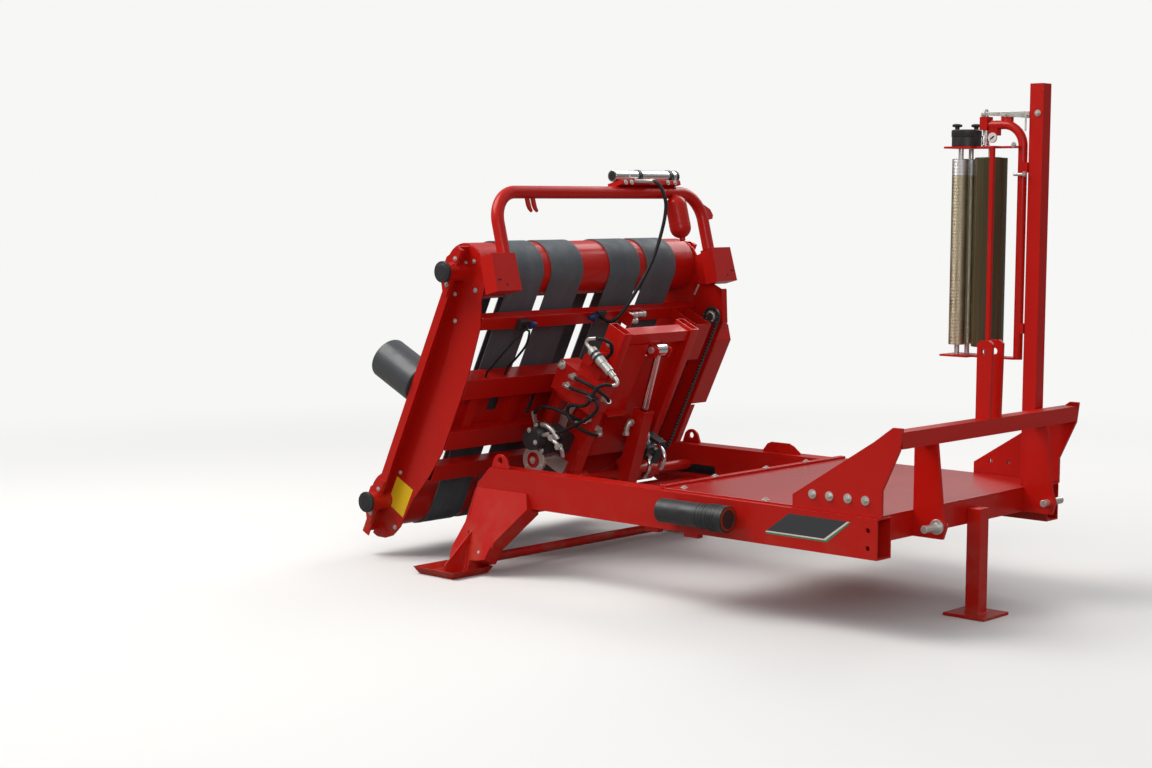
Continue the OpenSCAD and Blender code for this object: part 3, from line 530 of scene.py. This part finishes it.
def bolt_circle(centre, radius, count, first):
    """Rows for bolts that face -Y on a circle, the first at an angle in degrees."""
    x, y, z = centre
    turns = [math.radians(first + 360 * k / count) for k in range(count)]
    return [(x + radius * math.cos(a), y, z + radius * math.sin(a), 0, -1, 0) for a in turns]


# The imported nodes, dressed

def dress_nodes():
    red_edges = {
        "side_beams": 0.008, "rear_legs": 0.0025, "rear_feet": 0.002, "foot_brace": 0.0,
        "cross_members": 0.003, "lifting_eyes": 0.003, "head_plates": 0.0025,
        "head_frame": 0.003, "parking_leg": 0.003, "mast": 0.005, "film_frame": 0.0015,
        "tilt_arms": 0.004, "tilt_head": 0.003, "tilt_plates": 0.0015, "slew_base": 0.002,
        "gear_box": 0.006, "tip_cylinder": 0.002, "cylinder_guard": 0.001, "hub_plate": 0.002,
        "hub_beams": 0.003, "side_channels": 0.003, "table_rails": 0.003, "table_rollers": 0.002,
        "chain_cover": 0.002, "hoop_sockets": 0.003, "hoop": 0.0, "cutter_bracket": 0.002,
        "accumulator": 0.0, "centre_panel": 0.0015, "chain_case": 0.0015,
    }
    for node, width in red_edges.items():
        dressed(node, "red_paint", width)
    for node, finish, width in (
            ("belts", "black_rubber", 0.0012), ("shaft_caps", "black_plastic", 0.004),
            ("document_tube", "black_plastic", 0.003), ("gear_head", "black_plastic", 0.004),
            ("oil_motors", "black_plastic", 0.004), ("chain_drive", "black_plastic", 0.0),
            ("support_roller_right", "satin_grey", 0.006), ("support_roller_left", "satin_grey", 0.006),
            ("cable_sockets", "black_plastic", 0.003),
            ("film_roll", "film_wrap", 0.003), ("link_pins", "zinc_steel", 0.002),
            ("deck_plate", "deck_paint", 0.0015), ("tip_shaft", "red_paint", 0.002),
            ("cylinder_pins", "zinc_steel", 0.002),
            ("film_spindle", "zinc_steel", 0.001), ("slew_ring", "zinc_steel", 0.002),
            ("support_stubs", "zinc_steel", 0.001), ("rod_pin", "zinc_steel", 0.002),
            ("neck_lever", "zinc_steel", 0.001), ("motor_disc", "zinc_steel", 0.002),
            ("tip_rod", "chrome", 0.001), ("cutter_cylinder", "chrome", 0.002),
            ("stretch_roller_1", "aluminium", 0.002), ("stretch_roller_2", "aluminium", 0.002)):
        dressed(node, finish, width)


# The routes of the hoses and cables, as the model has them, in millimetres

TILT_ROUTES = (
    ((430, -355.6, 103), (430, -385, 103), (450, -400, 30), (472, -400, -60), (450, -400, -115),
     (395, -400, -100), (324, -400, -45), (250, -400, 20), (190, -410, 95), (190, -380.3, 95)),
    ((480, -355.6, 90), (480, -385, 90), (496, -395, 30), (505, -390, -50), (480, -345, -105),
     (440, -300, -80), (440, -300, -45.3)),
    ((185, -350, 185.3), (185, -350, 205), (225, -370, 212), (285, -390, 170), (322, -395, 80),
     (330, -385, 0), (318, -330, -20), (300, -275, 15), (300, -245.3, 15)))
CUTTER_ROUTE = (
    (974, 300, 5), (987, 300, -10), (986, 302, -42), (955, 309, -82), (905, 314, -114), (817, 290, -155),
    (690, 235, -205), (564, 150, -244), (470, 72, -270), (428, 38, -262), (416, 30, -236), (416, 30, -202.6))
CABLE_ROUTE_1 = (
    (405, -462, -212.6), (405, -462, -232), (370, -520, -248), (300, -560, -240), (215, -575, -215),
    (180, -575, -200), (155.8, -575, -200))
CABLE_ROUTE_2 = (
    (386, -440, -212.6), (386, -440, -232), (330, -445, -245), (260, -450, -225), (190, -452, -195),
    (155.8, -452, -195))


def route_line(route, place, steps=4):
    """The smooth line of a route, with its first and last stretches straight."""
    points = [Vector(p) / 1000 for p in route]
    line = [points[0]]
    for i in range(1, len(points) - 2):
        line += stretch_of(*points[i - 1:i + 3], steps)
    return [place @ p for p in line + points[-2:]]


def swept(name, body, line, radius):
    """A hose whose rings stand on the given line."""
    return Maker(name, "hose", body, "black_plastic").skin(sweep_rings(line, radius, 14)).done(angle=50.0)


def free_cords():
    for node, route, radius in (("cutter_hose", CUTTER_ROUTE, 0.008),
                                ("sensor_cable_1", CABLE_ROUTE_1, 0.005),
                                ("sensor_cable_2", CABLE_ROUTE_2, 0.005)):
        line = route_line(route, TABLE)
        piece = swept(node + "_finished", "turntable", line, radius)
        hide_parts(node)


def held_hoses():
    for i, route in enumerate(TILT_ROUTES):
        piece = swept("tilt_hose_%d" % (i + 1), "tilt_frame", route_line(route, TILT), 0.0075)
        if i == 0:
            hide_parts("tilt_hoses")


# Trim of the frame

def beam_plates():
    """A blank dark plate on the right beam, with a white and a green stripe along two of its edges."""
    face = -BEAM_OUT - 0.0006
    for name, finish, outline in (
            ("beam_plate", "slate", [(-0.508, 0.344), (-0.408, 0.418), (-0.150, 0.418), (-0.250, 0.344)]),
            ("beam_plate_white_stripe", "white", [(-0.515, 0.338), (-0.508, 0.343), (-0.249, 0.343),
                                                  (-0.149, 0.417), (-0.139, 0.417), (-0.243, 0.338)]),
            ("beam_plate_green_stripe", "green", [(-0.505, 0.332), (-0.515, 0.337), (-0.242, 0.337),
                                                  (-0.138, 0.417), (-0.131, 0.417), (-0.236, 0.332)])):
        Maker(name, finish, "frame", "red_paint").prism(GROUND, outline, face, face + 0.0004).done()


def head_plate_bolts():
    out = BEAM_OUT - 0.010
    for side, name in SIDES:
        bolts("head_plate_bolts_" + name, "frame", GROUND,
              [(x, side * out, BEAM_TOP + 0.060, 0, side, 0) for x in (-0.310, -0.235, -0.155, -0.079)],
              height=0.012)


def deck_bolts():
    """The deck's screws, and the flat bar along its rear edge."""
    bar_top = DECK_TOP + 0.010
    bolts("deck_bolts", "frame", GROUND,
          [(x, y, z, 0, 0, 1) for x, y, z in (
              (-0.975, -0.560, DECK_TOP), (-0.560, -0.585, DECK_TOP), (-0.975, 0.560, DECK_TOP),
              (-0.560, 0.585, DECK_TOP), (-1.045, -0.280, bar_top), (-1.045, 0.060, bar_top),
              (-1.045, 0.340, bar_top))], across=0.017, height=0.007)
    Maker("deck_rear_bar", "red_paint", "frame").box(
        GROUND, (-1.058, -0.610, DECK_TOP - 0.0003), (-1.030, 0.610, bar_top - 0.0002)).done(0.002)


def beam_bump_plate():
    """A short plate with sloping ends, on the inner side of the left beam."""
    Maker("beam_bump_plate", "red_paint", "frame").prism(
        GROUND, [(-1.480, 0.4403), (-1.452, 0.475), (-1.430, 0.484), (-1.330, 0.484), (-1.305, 0.474),
                 (-1.262, 0.4403)], 0.606, 0.612).done(0.0015)


def ribbed_hose_guard():
    """A ribbed guard that lies inside the left beam."""
    ribs = 26
    rows = [(0.0, 0.026)]
    for k in range(ribs):
        rows += [(0.010 * k + 0.002, 0.030), (0.010 * k + 0.006, 0.030), (0.010 * k + 0.008, 0.026)]
    Maker("ribbed_hose_guard", "hose", "frame", "black_plastic").turned(
        shift((-1.970, 0.575, 0.330)), "X", rows + [(0.010 * ribs + 0.002, 0.026)], 24).done(angle=50.0)


def document_tube_rings():
    """The document tube's ribbed cap, with a pale rim."""
    tube = shift((-0.975, -0.696, 0.374))
    rings = Maker("document_tube_rings", "black_plastic", "frame")
    for offset, inner in ((0.194, 0.0465), (0.213, 0.0465), (0.226, 0.0465),
                          (0.247, 0.0505), (0.259, 0.0505), (0.271, 0.0505), (0.283, 0.0505)):
        rings.turned(tube, "X", [(offset, inner), (offset + 0.001, inner + 0.0022),
                                 (offset + 0.005, inner + 0.0022), (offset + 0.006, inner)], 40)
    rings.done(angle=30.0)
    Maker("document_tube_rim", "brass", "frame", "zinc_steel").turned(
        tube, "X", [(0.3240, 0.036), (0.3258, 0.036), (0.3258, 0.046), (0.3240, 0.046)], 40).done(angle=30.0)


def leg_plates():
    """The outer plate of each leg, with a bolt in it and a gusset below it in the foot."""
    for side, name in SIDES:
        lean = shift((0.0, side * BEAM_OUT, 0.352)) @ Matrix.Rotation(side * LEG_LEAN, 4, "X")
        Maker("leg_plate_" + name, "red_paint", "frame").prism(
            lean, [(-2.024, -0.004), (-1.742, -0.004), (-1.715, -0.063), (-1.838, -0.212), (-1.846, -0.252),
                   (-2.031, -0.130)], side * -0.0005, side * 0.0085).done(0.001)
        Maker("leg_gusset_" + name, "red_paint", "frame").prism(
            Matrix.Rotation(math.radians(90.0), 4, "Z"),
            [(side * 0.718, 0.186), (side * 0.884, 0.052), (side * 0.884, 0.0105), (side * 0.790, 0.0105)],
            1.982, 1.988).done(0.001)
        bolts("leg_bolt_" + name, "frame", lean, [(-1.914, side * 0.0003, -0.276, 0, side, 0)],
              across=0.017, height=0.009)


# Trim of the turning table

def table_bolts():
    """Bolts of the side channels and bearings, and the faces of the shaft caps."""
    for side, name in SIDES:
        face = side * (WEB_Y + 0.0003)
        rows = [(0.627, -0.041), (0.522, -0.100), (0.452, 0.001), (0.350, -0.047), (0.598, -0.001),
                (-0.406, -0.028), (-0.643, -0.100), (-0.547, -0.004)]
        if side > 0:
            rows = [(-0.643, -0.100), (-0.406, -0.028), (0.627, -0.041)]
        bolts("web_bolts_" + name, "turntable", TABLE, [(u, face, z, 0, side, 0) for u, z in rows],
              across=0.012, height=0.007)
        lip = side * (WEB_Y + 0.0703)
        bolts("bearing_bolts_" + name, "turntable", TABLE,
              [(s * ROLLER_U + d, lip, 0.0, 0, side, 0) for s in (-1, 1) for d in (-0.060, 0.060)],
              across=0.012, height=0.007)
        for s, end in ((1, "upper"), (-1, "lower")):
            cap = TABLE @ shift((s * ROLLER_U, side * (WEB_Y + 0.1253), 0.0))
            if side < 0:
                cap = cap @ HALF_TURN
            Maker("cap_face_%s_%s" % (end, name), "black_plastic", "turntable", "black_rubber").turned(
                cap, "Y", [(-0.0004, 0.036), (0.0010, 0.034), (0.0014, 0.020), (0.0014, 0.002)],
                32).done(angle=40.0)


def web_plate():
    """The blank yellow plate on the right side channel."""
    Maker("web_plate", "yellow", "turntable", "red_paint").prism(
        TABLE, [(-0.432, -0.018), (-0.435, -0.129), (-0.577, -0.125), (-0.570, -0.014)],
        -WEB_Y - 0.0009, -WEB_Y - 0.0002).done()


def cable_connectors():
    """The connectors beside the socket blocks."""
    connectors = Maker("cable_connectors", "blue", "turntable", "black_plastic")
    for u, y in ((0.400, -0.4247), (0.416, -0.0003)):
        at = TABLE @ shift((u, y, -0.201))
        out = 1 if y < -0.1 else -1
        rows = [(0.0, 0.012), (0.006, 0.012), (0.007, 0.016), (0.026, 0.016), (0.027, 0.013), (0.046, 0.011)]
        connectors.turned(at if out > 0 else at @ HALF_TURN, "Y", rows, 20)
        connectors.box(TABLE, (u - 0.016, y + out * 0.010 - 0.009, -0.214),
                       (u + 0.016, y + out * 0.010 + 0.009, RAIL_FRONT))
    connectors.done(0.001)


def bracket_fittings():
    """Fittings by the end of the cutter's hose, and their bracket on the middle rail."""
    Maker("fitting_bracket", "red_paint", "turntable").box(
        TABLE, (0.386, 0.172, -0.262), (0.446, 0.180, RAIL_FRONT)).box(
        TABLE, (0.386, 0.180, -0.1956), (0.446, 0.300, RAIL_FRONT)).done(0.002)
    fittings = Maker("bracket_fittings", "zinc_steel", "turntable")
    for u, z, y in ((0.404, -0.234, 0.1803), (0.430, -0.224, 0.1803)):
        fittings.turned(TABLE @ shift((u, y, z)), "Y",
                        [(0.0, 0.015), (0.012, 0.015), (0.013, 0.011), (0.040, 0.011), (0.041, 0.014),
                         (0.060, 0.014), (0.062, 0.009)], 16)
    fittings.turned(TABLE @ shift((0.424, 0.262, -0.212)), "Y",
                    [(0.0, 0.012), (0.030, 0.012), (0.031, 0.015), (0.046, 0.015)], 16)
    fittings.done(angle=35.0)


def hoop_hooks():
    """Two hooks and a tab on the hoop."""
    flat = HOOP @ Matrix.Rotation(math.radians(90.0), 4, "X")
    hooks = Maker("hoop_hooks", "red_paint", "turntable")
    for y in (-0.482, -0.448):
        hooks.prism(flat, [(0.320, -y), (0.290, -y), (0.272, -y - 0.006), (0.258, -y - 0.020),
                           (0.264, -y - 0.027), (0.280, -y - 0.022), (0.320, -y - 0.020)], -0.005, 0.005)
    hooks.done(0.001)
    Maker("hoop_tab", "red_paint", "turntable").prism(
        flat, [(0.300, -0.676), (0.268, -0.735), (0.240, -0.748), (0.222, -0.738), (0.216, -0.690)],
        -0.004, 0.004).done(0.001)


def socket_slots_painted_shade():
    """Two fastenings on the front of each of the hoop's sockets, drawn as a flat black bar and disc: painted
    shade of a slot and a hole.
    """
    dark = Maker("socket_slots_painted_shade", "painted_shade", "turntable", "red_paint")
    for side in (-1, 1):
        dark.box(HOOP, (-0.034, side * 0.762 - 0.010, -0.0406), (-0.027, side * 0.762 + 0.010, -0.0401))
        dark.turned(HOOP @ shift((-0.052, side * 0.722, -0.0406)), "Z",
                    [(0.0, 0.005), (0.0005, 0.005)], 16)
    dark.done()


def sprocket_hubs():
    hub = Maker("sprocket_hubs", "zinc_steel", "turntable")
    for u, z in SPROCKETS:
        hub.turned(TABLE @ shift((u, SPROCKET_FACE, z)) @ HALF_TURN, "Y",
                   [(-0.0003, 0.026), (0.0015, 0.026), (0.002, 0.018), (0.006, 0.018)], 28)
    hub.done(angle=35.0)
    bolts("sprocket_bolts", "turntable", TABLE,
          [row for u, z in SPROCKETS
           for row in bolt_circle((u, SPROCKET_FACE - 0.0012, z), 0.0225, 4, 45)],
          across=0.006, height=0.004)


def chain_links():
    """Pins along the chain's two straight runs."""
    links = Maker("chain_links", "zinc_steel", "turntable")
    (last, _), (first, _) = SPROCKETS
    for height in CHAIN_RUNS:
        for k in range(CHAIN_PINS):
            u = first + (last - first) * (k + 0.5) / CHAIN_PINS
            links.turned(TABLE @ shift((u, SPROCKET_FACE - 0.0004, height)), "Y",
                         [(0.0, 0.0026), (0.0004, 0.0026)], 8)
    links.done(angle=35.0)


def stay_rod():
    Maker("stay_rod", "zinc_steel", "turntable").tube(
        TABLE, ((0.555, 0.640, -0.201), (0.503, 0.640, -0.198)), 0.005, 10).done(angle=40.0)


def cutter_bands():
    """Clamping bands, a seam, and a flat black disc in the end of the cutter's cylinder: painted shade of its
    open bore.
    """
    along = HOOP @ shift((CUTTER_A, 0.0, 0.0))
    bands = Maker("cutter_bands", "black_plastic", "turntable")
    for y in (0.262, 0.476):
        bands.turned(along @ shift((0.0, y, 0.0)), "Y",
                     [(-0.012, 0.0262), (-0.012, 0.0285), (0.012, 0.0285), (0.012, 0.0262)], 32)
        bands.box(along, (-0.0262, y - 0.010, -0.0290), (-0.010, y + 0.010, -0.0255))
        bands.box(along, (-0.0262, y - 0.010, 0.0255), (-0.010, y + 0.010, 0.0290))
    bands.turned(along @ shift((0.0, 0.514, 0.0)), "Y",
                 [(0.0, 0.0262), (0.0, 0.0280), (0.014, 0.0280), (0.014, 0.0262)], 32)
    bands.done(0.0008)
    Maker("cutter_seam", "zinc_steel", "turntable").turned(
        along @ shift((0.0, 0.185, 0.0)), "Y",
        [(-0.003, 0.0262), (-0.002, 0.0272), (0.002, 0.0272), (0.003, 0.0262)], 32).done()
    # A flat black disc: painted shade inside the cylinder's open end
    Maker("cutter_end_painted_shade", "painted_shade", "turntable", "black_plastic").turned(
        along @ shift((0.0, 0.0947, 0.0)), "Y",
        [(-0.0004, 0.019), (0.0001, 0.019)], 32).done()


def cutter_elbow():
    """The elbow that feeds the cutter, and small bolts along its bracket."""
    Maker("cutter_elbow", "zinc_steel", "turntable").tube(
        HOOP, ((0.383, 0.292, -0.052), (0.383, 0.262, -0.055), (0.384, 0.232, -0.052),
               (0.386, 0.206, -0.046), (0.390, 0.190, -0.0403)), 0.0095, 16).turned(
        HOOP @ shift((0.383, 0.286, -0.052)), "Y",
        [(0.0, 0.013), (0.022, 0.013), (0.024, 0.011), (0.030, 0.011)], 6).done(angle=35.0)
    bolts("cutter_bolts", "turntable", HOOP,
          [(0.383, y, -0.0403, 0, 0, -1) for y in (0.130, 0.170, 0.420, 0.470)], across=0.013, height=0.007)


def bottle_fittings():
    """Neck, band and lower nipple of the pressure bottle."""
    bottle = HOOP @ shift((0.2759, 0.460, -0.030))
    Maker("bottle_fittings", "red_paint", "turntable").turned(
        bottle, "X", [(-0.090, 0.0479), (-0.088, 0.0488), (-0.084, 0.0488), (-0.082, 0.0479)], 40).turned(
        bottle, "X", [(-0.160, 0.010), (-0.158, 0.013), (-0.146, 0.013), (-0.140, 0.013)], 24).turned(
        bottle, "X", [(0.036, 0.016), (0.046, 0.014), (0.052, 0.014)], 24).done(angle=35.0)


# Trim of the tipping frame's drive

def hose_ends():
    """A nut and a sleeve with a collar at each end of the hoses, and the elbows by the near motor."""
    sleeve = 0.052
    zinc = Maker("hose_ends", "zinc_steel", "tilt_frame")
    ends = [((0.430, BOX_FACE, 0.103), "Y", -1), ((0.190, MOTOR_FACE, 0.095), "Y", -1),
            ((0.480, BOX_FACE, 0.090), "Y", -1), ((0.440, -0.300, -0.0453), "Z", -1),
            ((0.185, -0.350, 0.1853), "Z", 1), ((0.300, ARM_FACE, 0.015), "Y", -1)]
    for at, axis, way in ends:
        place = TILT @ shift(at)
        if way < 0:
            place = place @ Matrix.Rotation(math.pi, 4, "X" if axis == "Z" else "Z")
        zinc.turned(place, axis, [(0.0, 0.013), (0.008, 0.013)], 6)
    for route in TILT_ROUTES:
        line = route_line(route, TILT, 6)
        for way in (line, line[::-1]):
            piece, gone = [way[0]], 0.0
            for a, b in zip(way, way[1:]):
                gone += (b - a).length
                piece.append(b)
                if gone > sleeve:
                    break
            zinc.tube(GROUND, piece, 0.0092, 14, steps=1)
            tail = (piece[-1] - piece[-2]).normalized()
            zinc.tube(GROUND, [piece[-1] - tail * 0.002, piece[-1] + tail * 0.016], 0.0108, 14)
    zinc.tube(TILT, ((0.222, -0.400, 0.130), (0.235, -0.405, 0.095), (0.232, -0.405, 0.055),
                     (0.214, -0.400, 0.020)), 0.010, 12)
    zinc.tube(TILT, ((0.204, -0.418, 0.030), (0.202, -0.418, 0.000), (0.188, -0.410, -0.025),
                     (0.160, -0.400, -0.035)), 0.009, 12)
    zinc.nut(TILT @ shift((0.212, -0.418, 0.040)), "Y", 0.012, 0.015)
    zinc.nut(TILT @ shift((0.196, -0.418, -0.010)), "Y", 0.012, 0.014)
    zinc.done(angle=35.0)


def line_valve():
    """The valve in the line beside the gear housing, with its pipes and bands."""
    top, foot = Vector((0.628, -0.368, 0.036)), Vector((0.589, -0.368, -0.117))
    lie = shift(top) @ (foot - top).to_track_quat("Z", "Y").to_matrix().to_4x4()
    Maker("line_valve", "zinc_steel", "tilt_frame").turned(
        TILT @ lie, "Z", [(-0.020, 0.010), (-0.006, 0.010), (-0.005, 0.0215), (0.080, 0.0215), (0.081, 0.019),
                          (0.128, 0.019), (0.129, 0.013), (0.158, 0.013)], 28).tube(
        TILT, ((0.631, -0.368, 0.050), (0.640, -0.368, 0.080), (0.662, -0.366, 0.078),
               (0.682, -0.360, 0.046)), 0.0075, 12).tube(
        TILT, ((0.590, -0.368, -0.112), (0.584, -0.369, -0.138), (0.570, -0.371, -0.146),
               (0.558, -0.374, -0.132)), 0.0085, 12).done(angle=35.0)
    bands = Maker("valve_bands", "black_plastic", "tilt_frame")
    for low, high in ((0.016, 0.026), (0.038, 0.048)):
        bands.turned(TILT @ lie, "Z", [(low, 0.0217), (low, 0.0236), (high, 0.0236), (high, 0.0217)], 28)
    bands.done(angle=35.0)


def valve_hoses():
    """The valve's two hoses, with the tie round them and the elbow at the arm."""
    hoses = Maker("valve_hoses", "hose", "tilt_frame", "black_plastic")
    for route in (((0.682, -0.360, 0.046), (0.690, -0.345, 0.020), (0.680, -0.320, -0.006),
                   (0.640, -0.300, -0.010), (0.600, -0.300, 0.012)),
                  ((0.558, -0.374, -0.132), (0.545, -0.382, -0.100), (0.515, -0.400, -0.076),
                   (0.470, -0.412, -0.078), (0.425, -0.414, -0.060), (0.385, -0.412, 0.010),
                   (0.350, -0.408, 0.020), (0.318, -0.400, -0.020), (0.306, -0.370, -0.080),
                   (0.300, -0.330, -0.105), (0.296, -0.300, -0.098))):
        hoses.tube(TILT, route, 0.0080, 12)
    hoses.done(angle=50.0)
    Maker("hose_tie", "black_plastic", "tilt_frame").box(
        TILT, (0.458, -0.423, -0.092), (0.476, -0.380, -0.058)).done(0.004)
    Maker("arm_elbow", "zinc_steel", "tilt_frame").tube(
        TILT, ((0.300, -0.322, -0.105), (0.294, -0.290, -0.096), (0.290, -0.262, -0.070),
               (0.290, -0.246, -0.040)), 0.0095, 12).nut(
        TILT @ shift((0.290, -0.252, -0.050)), "Z", 0.009, 0.014).done(angle=35.0)


def drive_bolts():
    """Bolts on the near motor, the gear housing and the arm."""
    bolts("near_motor_bolts", "tilt_frame", TILT,
          [(0.151, -0.4303, 0.106, 0, -1, 0), (0.180, -0.4303, 0.160, 0, -1, 0)], across=0.012, height=0.007)
    bolts("motor_flange_bolts", "tilt_frame", TILT,
          [(u, MOTOR_FACE, z, 0, -1, 0) for u in (0.110, 0.190) for z in (0.097, 0.173)],
          across=0.013, height=0.008)
    bolts("gear_box_bolts", "tilt_frame", TILT,
          [(0.488, BOX_FACE - 0.0001, 0.170, 0, -1, 0)], across=0.022, height=0.020)
    bolts("arm_bolts", "tilt_frame", TILT,
          [(u, ARM_FACE, z, 0, -1, 0) for u, z in (
              (0.360, 0.010), (0.330, 0.030), (0.250, 0.075), (0.640, 0.060))], across=0.014, height=0.010)


def disc_hub():
    """The motor disc's red hub and its bolts."""
    disc = TILT @ shift(DISC) @ HALF_TURN
    Maker("disc_hub", "red_paint", "tilt_frame").turned(
        disc, "Y", [(-0.001, 0.034), (0.0015, 0.034), (0.003, 0.030), (0.003, 0.014)], 32).done(angle=35.0)
    bolts("disc_bolts", "tilt_frame", TILT, [(DISC[0], DISC[1] - 0.0031, DISC[2], 0, -1, 0)],
          across=0.017, height=0.009)
    bolts("disc_rim_bolts", "tilt_frame", TILT, bolt_circle(DISC, 0.046, 3, 30), across=0.008, height=0.005)


def far_motor_pipes():
    """Pipes, nuts and bolts of the far motor."""
    far = Maker("far_motor_pipes", "chrome", "tilt_frame")
    for route in (((0.198, 0.110, -0.098), (0.212, 0.105, -0.128), (0.205, 0.102, -0.160),
                   (0.180, 0.100, -0.182), (0.140, 0.100, -0.180)),
                  ((0.150, 0.085, -0.105), (0.128, 0.082, -0.128), (0.100, 0.082, -0.138),
                   (0.064, 0.084, -0.128)),
                  ((0.205, 0.095, -0.070), (0.232, 0.092, -0.060), (0.244, 0.092, -0.030),
                   (0.240, 0.094, -0.004))):
        far.tube(TILT, route, 0.0085, 12)
    for at in ((0.198, 0.110, -0.104), (0.150, 0.085, -0.110), (0.140, 0.100, -0.176),
               (0.064, 0.084, -0.124)):
        far.nut(TILT @ shift(at), "Z", 0.010, 0.014)
    far.done(angle=35.0)
    bolts("far_motor_bolts", "tilt_frame", TILT, bolt_circle(FAR_MOTOR, 0.030, 4, 45), across=0.010,
          height=0.006)


def cylinder_feed():
    """The feed elbow on the side of the tipping cylinder's guard."""
    feed = Maker("cylinder_feed", "zinc_steel", "tip_cylinder")
    feed.tube(GROUND, [(-1.688, -0.0440, 0.604), (-1.690, -0.062, 0.604), (-1.697, -0.070, 0.584),
                       (-1.704, -0.070, 0.552)], 0.0115, 14)
    feed.nut(shift((-1.689, -0.058, 0.604)), "Y", 0.006, 0.017)
    feed.nut(shift((-1.704, -0.070, 0.556)), "Z", 0.008, 0.0155)
    feed.done(angle=35.0)


# Trim of the film dispenser and the mast

def gear_head_lid():
    """The gear head's lid, with a knob on each side."""
    lid = Maker("gear_head_lid", "black_plastic", "frame")
    lid.turned(shift((*GEAR_HEAD, 1.816)), "Z",
               [(0.0, 0.0586), (0.002, 0.0600), (0.026, 0.0600), (0.030, 0.0560)], 48)
    for side, _ in SIDES:
        lid.turned(shift((GEAR_HEAD[0] + side * 0.027, GEAR_HEAD[1] + side * 0.027, 1.845)), "Z",
                   [(0.0, 0.009), (0.010, 0.009), (0.012, 0.018), (0.015, 0.020), (0.020, 0.020),
                    (0.024, 0.014)], 28)
    lid.done(angle=35.0)


def lever_sides():
    """The neck lever's side plates, and the bolts along it."""
    plates = Maker("lever_sides", "zinc_steel", "frame")
    outline = [(-0.289, 1.902), (-0.200, 1.896), (-0.0755, 1.886), (-0.0755, 1.9068), (-0.289, 1.9068)]
    for y in (0.4331, 0.4549):
        plates.prism(GROUND, outline, y, y + 0.002)
    plates.done(0.0006)
    bolts("lever_bolts", "frame", GROUND,
          [(x, 0.4328, z, 0, -1, 0) for x, z in ((-0.280, 1.9030), (-0.178, 1.9010), (-0.084, 1.8980))],
          across=0.010, height=0.006)
    bolts("block_bolt", "frame", GROUND, [(*NECK, 1.9132, 0, 0, 1)], across=0.014, height=0.010)
    bolts("mast_bolt", "frame", GROUND, [(-0.038, 0.4347, 1.905, 0, -1, 0)], across=0.014, height=0.008)


def neck_spring():
    coils, per_coil, radius = 8, 12, 0.0155
    bottom, rise = 1.7825, 0.037
    spring = []
    for k in range(coils * per_coil + 1):
        a = 2 * math.pi * k / per_coil
        spring.append((NECK[0] + radius * math.cos(a), NECK[1] + radius * math.sin(a),
                       bottom + rise * k / (coils * per_coil)))
    Maker("neck_spring", "chrome", "frame", "zinc_steel").tube(
        GROUND, spring, 0.0016, 6, steps=1).done(angle=60.0)


def neck_clamp():
    """The slotted disc beside the spring, its slot drawn as a flat black bar of painted shade."""
    Maker("clamp_disc", "white", "frame", "zinc_steel").turned(
        shift((-0.231, 0.4285, 1.812)) @ HALF_TURN, "Y",
        [(-0.001, 0.020), (0.004, 0.020), (0.006, 0.018), (0.006, 0.006)], 28).done(angle=35.0)
    Maker("clamp_slot_painted_shade", "painted_shade", "frame", "black_plastic").box(
        shift((-0.231, 0.4220, 1.812)) @ Matrix.Rotation(math.radians(-35), 4, "Y"),
        (-0.010, -0.0008, -0.0025), (0.010, 0.0008, 0.0025)).done()


def neck_rod():
    """The thin rod behind the spring, and the pin with a nut below it."""
    Maker("neck_rod", "zinc_steel", "frame").tube(
        GROUND, [(-0.0845, 0.425, 1.836), (-0.0845, 0.425, 1.893)], 0.0035, 10).tube(
        GROUND, [(-0.130, 0.424, 1.668), (-0.076, 0.424, 1.668)], 0.0065, 12).nut(
        shift((-0.084, 0.424, 1.668)), "X", 0.006, 0.011).done(angle=40.0)
    bolts("plate_end_bolt", "frame", GROUND, [(-0.128, 0.4148, 1.7828, 0, -1, 0)], across=0.012, height=0.008)


def film_core():
    """Pale cores at both ends of the film roll."""
    core = Maker("film_core", "white", "film_roll", "film_wrap")
    bottom, top = FILM_ENDS
    for low, high in ((top - 0.0005, top + 0.0015), (bottom - 0.0015, bottom + 0.0005)):
        core.turned(shift((*FILM_ROLL, 0.0)), "Z",
                    [(low, 0.0135), (low, 0.038), (high, 0.038), (high, 0.0135)], 40)
    core.done(angle=35.0)


def mast_top_painted_shade():
    """The open top of the mast, drawn as a flat black sheet of painted shade."""
    Maker("mast_top_painted_shade", "painted_shade", "frame", "red_paint").box(
        GROUND, (-0.0708, 0.4392, 2.0135), (-0.0192, 0.4908, 2.0140)).done()


photo_camera()
make_finishes()
free_cords()
studio()
BOLT_TREE = bolt_tree()
dress_nodes()
held_hoses()
for trim in (
        beam_plates, head_plate_bolts, deck_bolts, beam_bump_plate, ribbed_hose_guard,
        document_tube_rings, leg_plates, table_bolts, web_plate, cable_connectors, bracket_fittings,
        hoop_hooks, socket_slots_painted_shade, sprocket_hubs, chain_links, stay_rod, cutter_bands, cutter_elbow,
        bottle_fittings, hose_ends, line_valve, valve_hoses, drive_bolts, disc_hub, far_motor_pipes,
        cylinder_feed, gear_head_lid, lever_sides, neck_spring, neck_clamp, neck_rod, film_core,
        mast_top_painted_shade):
    trim()
